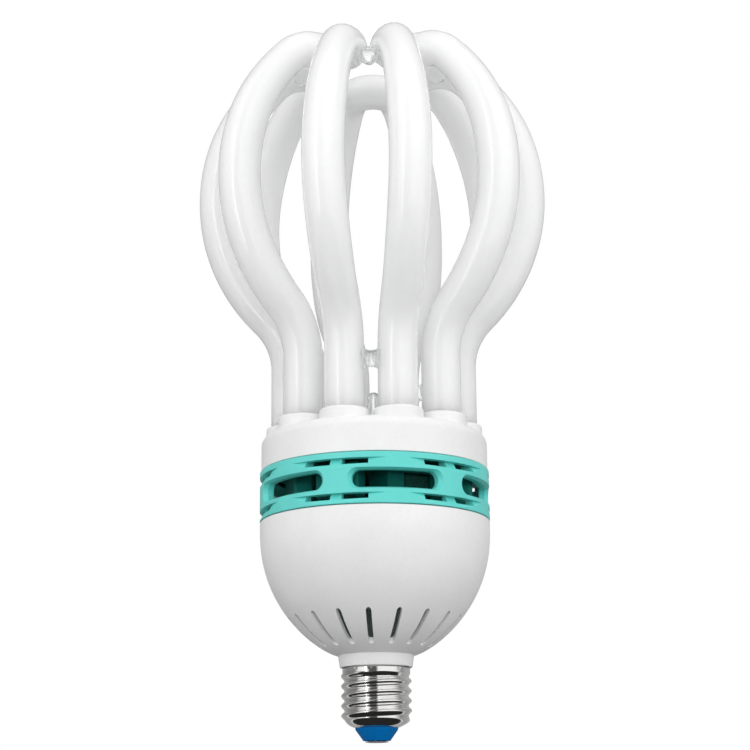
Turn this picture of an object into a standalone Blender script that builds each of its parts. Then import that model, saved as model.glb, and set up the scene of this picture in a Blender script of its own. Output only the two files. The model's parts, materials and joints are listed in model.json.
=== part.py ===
"""Compact fluorescent lamp: five bent glass tubes on a vented housing with a screw cap.

Lengths are metres. The origin is the bottom of the centre contact, on the axis,
and +Z runs from the cap to the glass. Angles are degrees round the axis, counted
from the front (-Y) towards +X.
"""
import math

import bmesh
import bpy
from mathutils import Matrix, Vector

# Fits that many pieces share
fit_gap = 0.0003
cut_overrun = 0.002
seat_clearance = 0.0012
weld_distance = 0.00001
round_steps = 40
collar_steps = 14
small_steps = 12

# Screw cap
thread_pitch = 0.003629
thread_major_radius = 0.01303
thread_minor_radius = 0.01215
thread_crest_height = 0.01046
thread_margin = 0.0025
thread_runout = 0.0014
shell_wall = 0.00035
shell_bottom = 0.0056
shell_corner_radius = 0.0030
shell_mouth_radius = 0.0081
shell_rim_radius = 0.0124
shell_rim_height = 0.0014
thread_rows_per_pitch = 5
shell_steps = 18

# Insulator and centre contact
insulator_bottom = 0.0010
insulator_foot_radius = 0.0049
insulator_edge_height = 0.0046
insulator_top = 0.0090
insulator_hole_radius = 0.0016
contact_radius = 0.0043
contact_flat_radius = 0.0033
contact_edge_height = 0.00045
contact_stem_end = 0.0085

# Lower housing: neck, spigot and bowl
neck_bottom = 0.0269
neck_height = 0.0044
neck_bottom_radius = 0.0133
neck_top_radius = 0.01395
spigot_clearance = 0.0030
spigot_wall = 0.0013
bowl_height = 0.0489
bowl_step = 0.0001
bowl_wall = 0.0018
bowl_straight_height = 0.0032
bowl_fullness_share = 2.15
bowl_roundness_share = 0.74
bowl_rows = 7
bowl_spread_share = 1.5
bowl_slope_share = 0.01
bowl_slot_count = 18
bowl_slot_width = 0.0020
bowl_slot_inner_margin = 0.0058
bowl_slot_outer_margin = 0.0105
bowl_slot_first_angle = -4.6

# Vent ring
ring_height = 0.0190
ring_step = 0.0005
ring_lip_height = 0.0024
ring_lip_wall = 0.0013
ledge_depth = 0.0017
ledge_thickness = 0.0008
window_count = 6
window_first_angle = 11.0
window_arc = 44.6
window_height = 0.0063
window_centre_height = 0.00905
window_end_share = 0.3
window_bevel_width = 0.0009
window_bevel_depth = 0.0009
vent_arc = 13.6
vent_spacing_arc = 20.2
vent_height = 0.0020
vent_pair_angle = -19.5
vent_low_height = 0.0027
vent_high_height = 0.0152

# Upper cover
cover_margin = 0.00165
cover_wall = 0.0016
cover_height = 0.0132
cover_shoulder = 0.0040
collar_wall = 0.0018
collar_height = 0.0040
collar_round = 0.0012
stem_radius = 0.0030
stem_height = 0.0175

# Glass tubes
tube_radius = 0.00735
petal_count = 5
petal_first_angle = 34.34
base_circle = 0.0316
leg_half_angle = 18.0
bulge_half_angle = 19.8
leg_sink = 0.0090
leg_straight_height = 0.0263
flare_radius = 0.0294
flare_angle = 44.2
dome_radius = 0.0686
dome_angle = 46.0
shoulder_radius = 0.0158
shoulder_angle = 90.0
leg_end_share = 0.8
bridge_drop = 0.0033
bridge_radius = 0.0031
bridge_flare = 0.0012
bead_seat = 0.0020
bead_drop = 0.0030

# Control board and what hangs from it
board_clearance = 0.0004
layout_radius = 0.0388
board_thickness = 0.0016
bulk_radius = 0.0090
bulk_length = 0.0320
bulk_reach = 0.0220
bulk_angle = 150.0
choke_length = 0.0240
choke_width = 0.0150
choke_height = 0.0220
choke_window = 0.0140
choke_limb = 0.0060
choke_reach = 0.0235
choke_angle = 30.0
choke_edge = 0.00075
winding_edge = 0.0008
film_length = 0.0170
film_width = 0.0070
film_height = 0.0130
film_reach = 0.0290
film_angles = (-25.0, -75.0, 85.0)
film_edge = 0.0007
toroid_radius = 0.0060
toroid_section = 0.0022
toroid_reach = 0.0110
toroid_angle = -50.0
transistor_width = 0.0100
transistor_thickness = 0.0045
transistor_height = 0.0160
transistor_reach = 0.0330
transistor_angles = (-115.0, -143.0)
transistor_edge = 0.00045
filter_flange_radius = 0.0055
filter_core_radius = 0.0022
filter_height = 0.0120
filter_flange = 0.0015
filter_reach = 0.0240
filter_angle = -172.0
diode_radius = 0.0014
diode_length = 0.0052
diode_reach = 0.0355
diode_count = 4
diode_first_angle = 140.0
diode_spacing_angle = 7.0
fuse_radius = 0.0022
fuse_length = 0.0100
fuse_reach = 0.0170
fuse_angle = -112.0
varistor_radius = 0.0050
varistor_thickness = 0.0030
varistor_reach = 0.0330
varistor_angle = 116.0
wire_radius = 0.0005
lead_radius = 0.0004
lead_spacing = 0.0050
wire_offset = 0.0045
wire_bow = 0.0015

# Sizes and heights that follow from the ones above
collar_radius = tube_radius + collar_wall
cover_radius = base_circle + collar_radius + cover_margin
ring_radius = cover_radius + ring_step
bowl_radius = ring_radius - bowl_step
neck_top = neck_bottom + neck_height
bowl_rim = neck_top + bowl_height
ring_bottom = bowl_rim + fit_gap
ring_top = ring_bottom + ring_height
cover_bottom = ring_top + fit_gap
cover_top = cover_bottom + cover_height
leg_bottom = cover_top - leg_sink
leg_straight_top = cover_top + leg_straight_height
bridge_height = leg_straight_top - bridge_drop
thread_low = shell_bottom + shell_corner_radius
thread_high = neck_bottom - thread_margin
shell_top = neck_bottom - fit_gap
spigot_radius = thread_minor_radius - shell_wall - fit_gap
spigot_bottom = insulator_top + spigot_clearance
lip_outer_radius = min(bowl_radius - bowl_wall, cover_radius - cover_wall) - fit_gap
lip_inner_radius = lip_outer_radius - ring_lip_wall
ledge_top = ring_top - ledge_depth
board_radius = lip_inner_radius - board_clearance
board_bottom = ledge_top + fit_gap
board_top = board_bottom + board_thickness
hang_height = board_bottom - fit_gap
layout_share = board_radius / layout_radius


def clear_scene():
    """Remove every object of the open file."""
    for item in list(bpy.data.objects):
        bpy.data.objects.remove(item, do_unlink=True)


def make_collection(name):
    """Return a new collection linked to the scene."""
    group = bpy.data.collections.new(name)
    bpy.context.scene.collection.children.link(group)
    return group


def make_material(name, colour, roughness, metallic=0.0, transmission=0.0):
    """Return a Principled material."""
    material = bpy.data.materials.new(name)
    material.use_nodes = True
    shader = material.node_tree.nodes["Principled BSDF"]
    shader.inputs["Base Color"].default_value = (*colour, 1.0)
    shader.inputs["Roughness"].default_value = roughness
    shader.inputs["Metallic"].default_value = metallic
    shader.inputs["Transmission Weight"].default_value = transmission
    return material


def add_object(name, data, group, material=None):
    """Link a mesh or curve as an object of a collection."""
    item = bpy.data.objects.new(name, data)
    group.objects.link(item)
    if material:
        data.materials.append(material)
    return item


def direction(angle):
    """Unit vector from the axis towards an angle."""
    turn = math.radians(angle)
    return Vector((math.sin(turn), -math.cos(turn), 0.0))


def place(radius, angle, height):
    """Point at a radius, an angle and a height."""
    return direction(angle) * radius + Vector((0.0, 0.0, height))


def facing(angle):
    """Turn that takes +X to the outward direction at an angle."""
    return Matrix.Rotation(math.radians(angle - 90.0), 4, "Z")


def arc_points(centre, radius, start, end, count):
    """Points on an arc in the radius and height plane, angles in degrees."""
    points = []
    for index in range(count + 1):
        turn = math.radians(start + (end - start) * index / count)
        points.append((centre[0] + radius * math.cos(turn), centre[1] + radius * math.sin(turn)))
    return points


def outline_mesh(name, points, closed):
    """Mesh of one chain of edges through points of radius and height."""
    mesh = bpy.data.meshes.new(name)
    vertices = [(radius, 0.0, height) for radius, height in points]
    edges = [(index, index + 1) for index in range(len(points) - 1)]
    if closed:
        edges.append((len(points) - 1, 0))
    mesh.from_pydata(vertices, edges, [])
    return mesh


def turned(name, points, group, material, steps, closed=True):
    """Turn a profile round the axis with a Screw modifier."""
    item = add_object(name, outline_mesh(name, points, closed), group, material)
    screw = item.modifiers.new("turn", "SCREW")
    screw.steps = steps
    screw.render_steps = steps
    screw.use_merge_vertices = True
    screw.merge_threshold = weld_distance
    screw.use_smooth_shade = True
    return item


def evaluated_mesh(item):
    """Copy of an object's mesh with its modifiers applied and its caps welded."""
    graph = bpy.context.evaluated_depsgraph_get()
    mesh = bpy.data.meshes.new_from_object(item.evaluated_get(graph))
    shape = bmesh.new()
    shape.from_mesh(mesh)
    bmesh.ops.remove_doubles(shape, verts=shape.verts, dist=weld_distance)
    shape.to_mesh(mesh)
    shape.free()
    return mesh


def replaced_by_mesh(item, group, material=None):
    """Put a plain mesh object in the place of a curve or a modified object."""
    name = item.name
    mesh = evaluated_mesh(item)
    matrix = item.matrix_world.copy()
    bpy.data.objects.remove(item, do_unlink=True)
    mesh.materials.clear()
    fresh = add_object(name, mesh, group, material)
    fresh.matrix_world = matrix
    return fresh


def as_cutter(item):
    """Hide a cutter from renders and draw it as a wire."""
    item.hide_render = True
    item.display_type = "WIRE"
    return item


def combine(item, other, operation):
    """Add a Boolean modifier with the exact solver."""
    change = item.modifiers.new(operation.lower(), "BOOLEAN")
    change.operation = operation
    change.solver = "EXACT"
    change.object = other
    return change


def joined_copies(name, base, matrices, group):
    """One cutter made of copies of a mesh at several places."""
    shape = bmesh.new()
    for matrix in matrices:
        start = len(shape.verts)
        shape.from_mesh(base)
        shape.verts.ensure_lookup_table()
        bmesh.ops.transform(shape, matrix=matrix, verts=shape.verts[start:])
    mesh = bpy.data.meshes.new(name)
    shape.to_mesh(mesh)
    shape.free()
    return as_cutter(add_object(name, mesh, group))


def rod_mesh(name, radius, length, sides, tip_radius=None):
    """Cylinder mesh along +Z from the origin."""
    shape = bmesh.new()
    end = radius if tip_radius is None else tip_radius
    raised = Matrix.Translation((0.0, 0.0, length / 2))
    bmesh.ops.create_cone(shape, cap_ends=True, segments=sides, radius1=radius,
                          radius2=end, depth=length, matrix=raised)
    mesh = bpy.data.meshes.new(name)
    shape.to_mesh(mesh)
    shape.free()
    return mesh


def box_object(name, size, matrix, group, material, bevel=0.0):
    """Box of a size, centred on a matrix, with an optional bevel."""
    shape = bmesh.new()
    bmesh.ops.create_cube(shape, size=1.0)
    bmesh.ops.scale(shape, vec=size, verts=shape.verts)
    mesh = bpy.data.meshes.new(name)
    shape.to_mesh(mesh)
    shape.free()
    item = add_object(name, mesh, group, material)
    item.matrix_world = matrix
    if bevel:
        edge = item.modifiers.new("edge", "BEVEL")
        edge.width = bevel
        edge.segments = 1
    return item


def tube_object(name, points, radius, resolution, group, material, radii=None):
    """Round tube along points, as a curve with a bevel and filled caps."""
    curve = bpy.data.curves.new(name, "CURVE")
    curve.dimensions = "3D"
    curve.bevel_depth = radius
    curve.bevel_resolution = resolution
    curve.use_fill_caps = True
    spline = curve.splines.new("POLY")
    spline.points.add(len(points) - 1)
    for index, point in enumerate(points):
        spline.points[index].co = (*point, 1.0)
        if radii:
            spline.points[index].radius = radii[index]
    return add_object(name, curve, group, material)


def smooth_step(value):
    """Ease from 0 to 1, flat at both ends."""
    share = min(max(value, 0.0), 1.0)
    return share * share * (3.0 - 2.0 * share)


def thread_rise(angle, height):
    """Share of the thread's depth at an angle in radians from +X and a height."""
    turns = (height - thread_crest_height) / thread_pitch - (angle + math.pi / 2) / math.tau
    wave = 0.5 + 0.5 * math.cos(math.tau * turns)
    fade_in = smooth_step((height - thread_low) / thread_runout)
    fade_out = smooth_step((thread_high - height) / thread_runout)
    return wave * fade_in * fade_out


def make_screw_shell(group, material):
    """Rolled metal shell: a turned sheet, wound with a thread, then thickened."""
    corner = shell_corner_radius
    centre = (thread_minor_radius - corner, shell_bottom + corner)
    rows = math.ceil((thread_high - thread_low) / thread_pitch * thread_rows_per_pitch)
    step = (thread_high - thread_low) / rows
    profile = [(shell_rim_radius, shell_top)]
    profile.append((shell_rim_radius, shell_top - shell_rim_height))
    for index in range(rows + 1):
        profile.append((thread_minor_radius, thread_high - step * index))
    profile.extend(arc_points(centre, corner, 0.0, -90.0, 4)[1:])
    profile.append((shell_mouth_radius, shell_bottom))
    item = turned("screw_shell", profile, group, None, shell_steps, closed=False)
    item = replaced_by_mesh(item, group, material)
    for vertex in item.data.vertices:
        radius = math.hypot(vertex.co.x, vertex.co.y)
        if thread_low <= vertex.co.z <= thread_high:
            angle = math.atan2(vertex.co.y, vertex.co.x)
            depth = thread_major_radius - thread_minor_radius
            grown = radius + depth * thread_rise(angle, vertex.co.z)
            vertex.co.x *= grown / radius
            vertex.co.y *= grown / radius
    wall = item.modifiers.new("wall", "SOLIDIFY")
    wall.thickness = shell_wall
    wall.offset = -1.0
    return item


def make_insulator(group, material):
    """Glass insulator that closes the shell and carries the contact."""
    waist = shell_mouth_radius - fit_gap
    inner_top = shell_bottom + 2 * shell_wall + fit_gap
    flange = thread_minor_radius - shell_wall - seat_clearance
    profile = [
        (flange, insulator_top),
        (flange, (insulator_top + inner_top) / 2),
        (waist, inner_top),
        (waist, insulator_edge_height),
        (insulator_foot_radius, insulator_bottom),
        (insulator_hole_radius, insulator_bottom),
        (insulator_hole_radius, insulator_top),
    ]
    return turned("cap_insulator", profile, group, material, shell_steps)


def make_contact(group, material):
    """Centre contact: a dished disc on a rivet stem."""
    top = insulator_bottom - fit_gap
    stem = insulator_hole_radius - fit_gap
    profile = [
        (0.0, contact_stem_end),
        (stem, contact_stem_end),
        (stem, top),
        (contact_radius, top),
        (contact_radius, contact_edge_height),
        (contact_flat_radius, 0.0),
        (0.0, 0.0),
    ]
    return turned("centre_contact", profile, group, material, shell_steps, closed=False)


def bowl_point(share, offset=0.0):
    """Point of the bowl's outer curve, or of the curve a distance inside it."""
    rise = bowl_rim - bowl_straight_height - neck_top

    def curve(value):
        full = 1.0 - (1.0 - value) ** bowl_fullness_share
        reach = (bowl_radius - neck_top_radius) * full ** bowl_roundness_share
        return Vector((neck_top_radius + reach, neck_top + rise * value))

    here = curve(share)
    if not offset:
        return tuple(here)
    before = curve(max(share - bowl_slope_share, 0.0))
    after = curve(min(share + bowl_slope_share, 1.0))
    along = (after - before).normalized()
    return tuple(here + offset * Vector((-along.y, along.x)))


def make_lower_housing(group, cutters, material):
    """Bowl with neck and spigot, cut by slots along the axis."""
    shares = [((index + 1) / bowl_rows) ** bowl_spread_share for index in range(bowl_rows)]
    outer = [bowl_point(share) for share in reversed(shares)]
    inner = [bowl_point(share, bowl_wall) for share in shares[1::2]]
    spigot_inner = spigot_radius - spigot_wall
    inner = [point for point in inner if point[0] > spigot_inner + bowl_wall]
    profile = [(bowl_radius, bowl_rim)] + outer
    profile.append((neck_top_radius, neck_top))
    profile.append((neck_bottom_radius, neck_bottom))
    profile.append((spigot_radius, neck_bottom))
    profile.append((spigot_radius, spigot_bottom))
    profile.append((spigot_inner, spigot_bottom))
    profile.append((spigot_inner, neck_top + bowl_wall))
    profile.extend(inner)
    profile.append((bowl_radius - bowl_wall, bowl_rim))
    item = turned("lower_housing", profile, group, material, round_steps)
    slot = make_obround("slot_outline", neck_top_radius + bowl_slot_inner_margin,
                        bowl_radius - bowl_slot_outer_margin,
                        bowl_slot_width, neck_bottom, bowl_rim - bowl_straight_height)
    pitch = 360.0 / bowl_slot_count
    turns = [facing(bowl_slot_first_angle + pitch * index) for index in range(bowl_slot_count)]
    cutter = joined_copies("bowl_slots", slot, turns, cutters)
    combine(item, cutter, "DIFFERENCE")
    return item


def make_obround(name, start, end, width, low, high):
    """Mesh of a slot with round ends along +X, extruded upwards."""
    curve = bpy.data.curves.new(name, "CURVE")
    curve.dimensions = "2D"
    curve.fill_mode = "BOTH"
    curve.extrude = (high - low) / 2
    half = width / 2
    points = arc_points((end - half, 0.0), half, -90.0, 90.0, 2)
    points += arc_points((start + half, 0.0), half, 90.0, 270.0, 2)
    spline = curve.splines.new("POLY")
    spline.points.add(len(points) - 1)
    for index, point in enumerate(points):
        spline.points[index].co = (*point, 0.0, 1.0)
    spline.use_cyclic_u = True
    guide = bpy.data.objects.new(name, curve)
    bpy.context.scene.collection.objects.link(guide)
    mesh = evaluated_mesh(guide)
    mesh.transform(Matrix.Translation((0.0, 0.0, (high + low) / 2)))
    bpy.data.objects.remove(guide, do_unlink=True)
    return mesh


def wrapped_cutter_mesh(name, arc, height, inner, outer, form, columns):
    """Opening wrapped on the ring: a grid bent round the axis and made thick.

    The form is round for an obround and square for a plain slot.
    """
    shape = bmesh.new()
    bmesh.ops.create_grid(shape, x_segments=columns, y_segments=1, size=1.0)
    faces = list(shape.faces)
    grown = bmesh.ops.extrude_face_region(shape, geom=faces)["geom"]
    back = {vertex for vertex in grown if isinstance(vertex, bmesh.types.BMVert)}
    half_arc = math.radians(arc) / 2
    half_length = ring_radius * half_arc
    half_height = height / 2
    for vertex in shape.verts:
        along = vertex.co.x
        if form != "square":
            along = math.sin(along * math.pi / 2)
        reach = half_length * (1.0 - abs(along))
        tall = half_height
        if form == "round" and reach < half_height:
            tall = math.sqrt(half_height ** 2 - (half_height - reach) ** 2)
        tall = max(tall, half_height * window_end_share)
        radius = outer if vertex in back else inner
        turn = along * half_arc
        side = math.copysign(1.0, vertex.co.y)
        vertex.co = (radius * math.cos(turn), radius * math.sin(turn), side * tall)
    bmesh.ops.recalc_face_normals(shape, faces=shape.faces)
    mesh = bpy.data.meshes.new(name)
    shape.to_mesh(mesh)
    shape.free()
    return mesh


def make_vent_ring(group, cutters, material):
    """Ring with locating lips, a ledge for the board, windows and small vents."""
    lip_low = ring_bottom - ring_lip_height
    lip_high = ring_top + ring_lip_height
    ledge_radius = lip_inner_radius - ledge_depth
    ledge_low = ledge_top - ledge_thickness
    profile = [
        (lip_outer_radius, lip_high),
        (lip_outer_radius, ring_top),
        (ring_radius, ring_top),
        (ring_radius, ring_bottom),
        (lip_outer_radius, ring_bottom),
        (lip_outer_radius, lip_low),
        (lip_inner_radius, lip_low),
        (lip_inner_radius, ledge_low - ledge_depth),
        (ledge_radius, ledge_low),
        (ledge_radius, ledge_top),
        (lip_inner_radius, ledge_top),
        (lip_inner_radius, lip_high),
    ]
    item = turned("vent_ring", profile, group, material, round_steps)
    far = ring_radius + cut_overrun
    near = lip_inner_radius - fit_gap
    spacing = 360.0 / window_count
    middle = ring_bottom + window_centre_height

    def turns(height, offset):
        angles = [window_first_angle + offset + spacing * index for index in range(window_count)]
        return [Matrix.Translation((0.0, 0.0, height)) @ facing(angle) for angle in angles]

    window = wrapped_cutter_mesh("window", window_arc, window_height, near, far, "round", 7)
    combine(item, joined_copies("windows", window, turns(middle, 0.0), cutters), "DIFFERENCE")
    wide_arc = window_arc + math.degrees(2 * window_bevel_width / ring_radius)
    frame = wrapped_cutter_mesh("window_frame", wide_arc, window_height + 2 * window_bevel_width,
                                ring_radius - window_bevel_depth, far, "round", 7)
    combine(item, joined_copies("window_frames", frame, turns(middle, 0.0), cutters), "DIFFERENCE")
    pair = vent_pair_angle - window_first_angle
    rows = [ring_bottom + vent_low_height, ring_bottom + vent_high_height]
    vent = wrapped_cutter_mesh("vent", vent_arc, vent_height, near, far, "square", 1)
    vent_turns = []
    for height in rows:
        vent_turns += turns(height, pair - vent_spacing_arc / 2)
        vent_turns += turns(height, pair + vent_spacing_arc / 2)
    combine(item, joined_copies("vents", vent, vent_turns, cutters), "DIFFERENCE")
    return item


def leg_angles():
    """Angle of each leg of the glass round the axis."""
    angles = []
    for index in range(petal_count):
        middle = petal_first_angle + 360.0 / petal_count * index
        angles += [middle - leg_half_angle, middle + leg_half_angle]
    return angles


def make_upper_cover(group, cutters, material):
    """Cover with a round shoulder and a raised collar round each leg."""
    shoulder = (cover_radius - cover_shoulder, cover_top - cover_shoulder)
    inner_top = cover_top - cover_wall
    outer = arc_points(shoulder, cover_shoulder, 90.0, 0.0, 3)
    inner = arc_points(shoulder, cover_shoulder - cover_wall, 0.0, 90.0, 2)
    profile = [(0.0, cover_top)] + outer
    profile.append((cover_radius, cover_bottom))
    profile.append((cover_radius - cover_wall, cover_bottom))
    profile.extend(inner)
    profile.append((0.0, inner_top))
    item = turned("upper_cover", profile, group, material, round_steps, closed=False)
    collar_low = inner_top - cover_shoulder
    collar_top = cover_top + collar_height
    flank = collar_top - collar_low - collar_round
    collar = rod_mesh("collar", collar_radius, flank, collar_steps)
    crown = rod_mesh("crown", collar_radius, collar_round, collar_steps, collar_radius - collar_round)
    crown.transform(Matrix.Translation((0.0, 0.0, flank)))
    shape = bmesh.new()
    shape.from_mesh(collar)
    shape.from_mesh(crown)
    bmesh.ops.remove_doubles(shape, verts=shape.verts, dist=weld_distance)
    inside = [face for face in shape.faces if len(face.verts) > 4]
    middle = [face for face in inside if abs(face.calc_center_median().z - flank) < weld_distance]
    bmesh.ops.delete(shape, geom=middle, context="FACES_ONLY")
    shape.to_mesh(collar)
    shape.free()
    bore = tube_radius + fit_gap
    hole = rod_mesh("socket", bore, collar_top - collar_low + 2 * cut_overrun,
                    collar_steps)
    spots = [place(base_circle, angle, collar_low) for angle in leg_angles()]
    collar_places = [Matrix.Translation(spot) for spot in spots]
    drop = Vector((0.0, 0.0, cut_overrun))
    hole_places = [Matrix.Translation(spot - drop) for spot in spots]
    combine(item, joined_copies("collars", collar, collar_places, cutters), "UNION")
    combine(item, joined_copies("sockets", hole, hole_places, cutters), "DIFFERENCE")
    return item


def leg_profile():
    """Radius and height along one leg's centre line, from its foot to the bend."""
    points = [(base_circle, leg_bottom), (base_circle, leg_bottom + tube_radius)]
    points += arc_points((base_circle + flare_radius, leg_straight_top), flare_radius,
                         180.0, 180.0 - flare_angle, 3)
    last = points[-1]
    lean = math.radians(flare_angle)
    centre = (last[0] - dome_radius * math.cos(lean), last[1] + dome_radius * math.sin(lean))
    points += arc_points(centre, dome_radius, -flare_angle, dome_angle, 6)[1:]
    last = points[-1]
    lean = math.radians(dome_angle)
    centre = (last[0] - shoulder_radius * math.cos(lean), last[1] - shoulder_radius * math.sin(lean))
    points += arc_points(centre, shoulder_radius, dome_angle, shoulder_angle, 2)[1:]
    return points


def petal_points():
    """Centre line of a petal whose middle plane is the XZ plane, on +X."""
    profile = leg_profile()
    widest = max(radius for radius, height in profile)
    right = []
    for radius, height in profile:
        share = smooth_step((radius - base_circle) / (widest - base_circle))
        half = math.radians(leg_half_angle + (bulge_half_angle - leg_half_angle) * share)
        right.append(Vector((radius * math.cos(half), radius * math.sin(half), height)))
    left = [Vector((point.x, -point.y, point.z)) for point in right]
    along = (right[-1] - right[-2]).normalized()
    across = left[-1] - right[-1]
    chord = across.length
    across.normalize()
    opening = math.acos(along.dot(across))
    bend = chord / 2 / math.sin(opening)
    inward = (across - along * along.dot(across)).normalized()
    centre = right[-1] + inward * bend
    count = 6
    turn = [2 * opening * index / count for index in range(1, count)]
    middle = [centre - inward * bend * math.cos(a) + along * bend * math.sin(a) for a in turn]
    return right + middle + left[::-1]


def make_petals(group, material):
    """Five U-shaped glass tubes."""
    points = petal_points()
    radii = [leg_end_share] + [1.0] * (len(points) - 2) + [leg_end_share]
    petals = []
    for index in range(petal_count):
        turn = facing(petal_first_angle + 360.0 / petal_count * index)
        path = [turn @ point for point in points]
        name = f"glass_petal_{index + 1}"
        petals.append(tube_object(name, path, tube_radius, 3, group, material, radii))
    return petals


def make_bridges(group, cutters, material):
    """Short necks that join each tube to the next, with a saddle at each end."""
    half_gap = base_circle * math.sin(math.radians(180.0 / petal_count - leg_half_angle))
    reach = base_circle * math.cos(math.radians(180.0 / petal_count - leg_half_angle))
    wide = bridge_radius + bridge_flare
    waist = half_gap - tube_radius
    profile = [
        (0.0, half_gap),
        (wide, half_gap),
        (wide, waist),
        (bridge_radius, waist / 3),
        (bridge_radius, -waist / 3),
        (wide, -waist),
        (wide, -half_gap),
        (0.0, -half_gap),
    ]
    neck = turned("neck_form", profile, cutters, None, 12, closed=False)
    neck = replaced_by_mesh(neck, cutters)
    form = neck.data.copy()
    bpy.data.objects.remove(neck, do_unlink=True)
    form.transform(Matrix.Rotation(math.pi / 2, 4, "X"))
    form.transform(Matrix.Translation((reach, 0.0, bridge_height)))
    tall = 4 * wide
    leg = rod_mesh("leg_clearance", tube_radius + fit_gap, tall, collar_steps)
    sides = [Matrix.Translation((reach, side * half_gap, bridge_height - tall / 2))
             for side in (-1.0, 1.0)]
    for index in range(petal_count - 1):
        angle = petal_first_angle + 360.0 / petal_count * (index + 1.5)
        turn = facing(angle)
        item = add_object(f"glass_bridge_{index + 1}", form.copy(), group, material)
        item.data.transform(turn)
        places = [turn @ side for side in sides]
        combine(item, joined_copies(f"saddle_{index + 1}", leg, places, cutters), "DIFFERENCE")


def make_beads(petals, group, cutters, material):
    """Clear bead between neighbouring tubes, cut to sit on both of them."""
    points = petal_points()
    half_pitch = math.radians(180.0 / petal_count)
    normal = Vector((-math.sin(half_pitch), math.cos(half_pitch), 0.0))
    upper = [point for point in points if point.z > leg_straight_top + dome_radius]
    nearest = max(upper, key=normal.dot)
    seat = nearest - normal * normal.dot(nearest) - Vector((0.0, 0.0, bead_drop))
    bead_radius = (nearest - seat).length - tube_radius + bead_seat
    tubes = []
    for petal in petals:
        copy = petal.copy()
        copy.data = petal.data.copy()
        copy.data.bevel_depth = tube_radius + fit_gap
        cutters.objects.link(copy)
        copy.name = petal.name + "_clearance"
        tubes.append(as_cutter(replaced_by_mesh(copy, cutters)))
    for index in range(petal_count):
        turn = facing(petal_first_angle + 360.0 / petal_count * index)
        shape = bmesh.new()
        bmesh.ops.create_uvsphere(shape, u_segments=8, v_segments=6, radius=bead_radius)
        bmesh.ops.translate(shape, vec=turn @ seat, verts=shape.verts)
        mesh = bpy.data.meshes.new(f"tip_bead_{index + 1}")
        shape.to_mesh(mesh)
        shape.free()
        item = add_object(mesh.name, mesh, group, material)
        combine(item, tubes[index], "DIFFERENCE")
        combine(item, tubes[(index + 1) % petal_count], "DIFFERENCE")


def make_stem(group, material):
    """Sealed glass stem that stands in the middle of the cover."""
    foot = cover_top + fit_gap
    tip = cover_top + stem_height
    dome = arc_points((0.0, tip - stem_radius), stem_radius, 90.0, 0.0, 4)
    profile = dome + [(stem_radius, foot), (0.0, foot)]
    profile[0] = (0.0, tip)
    return turned("glass_stem", profile, group, material, small_steps, closed=False)


def make_board(group, material):
    """Round control board, which lies on the ring's ledge."""
    profile = [(0.0, board_top), (board_radius, board_top), (board_radius, board_bottom),
               (0.0, board_bottom)]
    return turned("control_board", profile, group, material, round_steps, closed=False)


def hang(reach, angle, half_height):
    """Seat of a piece that hangs under the board, drawn to the board's size."""
    spot = place(reach * layout_share, angle, hang_height - half_height)
    drawn = Matrix.Diagonal((layout_share, layout_share, 1.0, 1.0))
    return Matrix.Translation(spot) @ facing(angle) @ drawn


def hung_rod(name, radius, length, reach, angle, group, material, sides=small_steps):
    """Upright cylinder that hangs under the board."""
    item = add_object(name, rod_mesh(name, radius, length, sides), group, material)
    item.matrix_world = hang(reach, angle, length)
    return item


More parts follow.
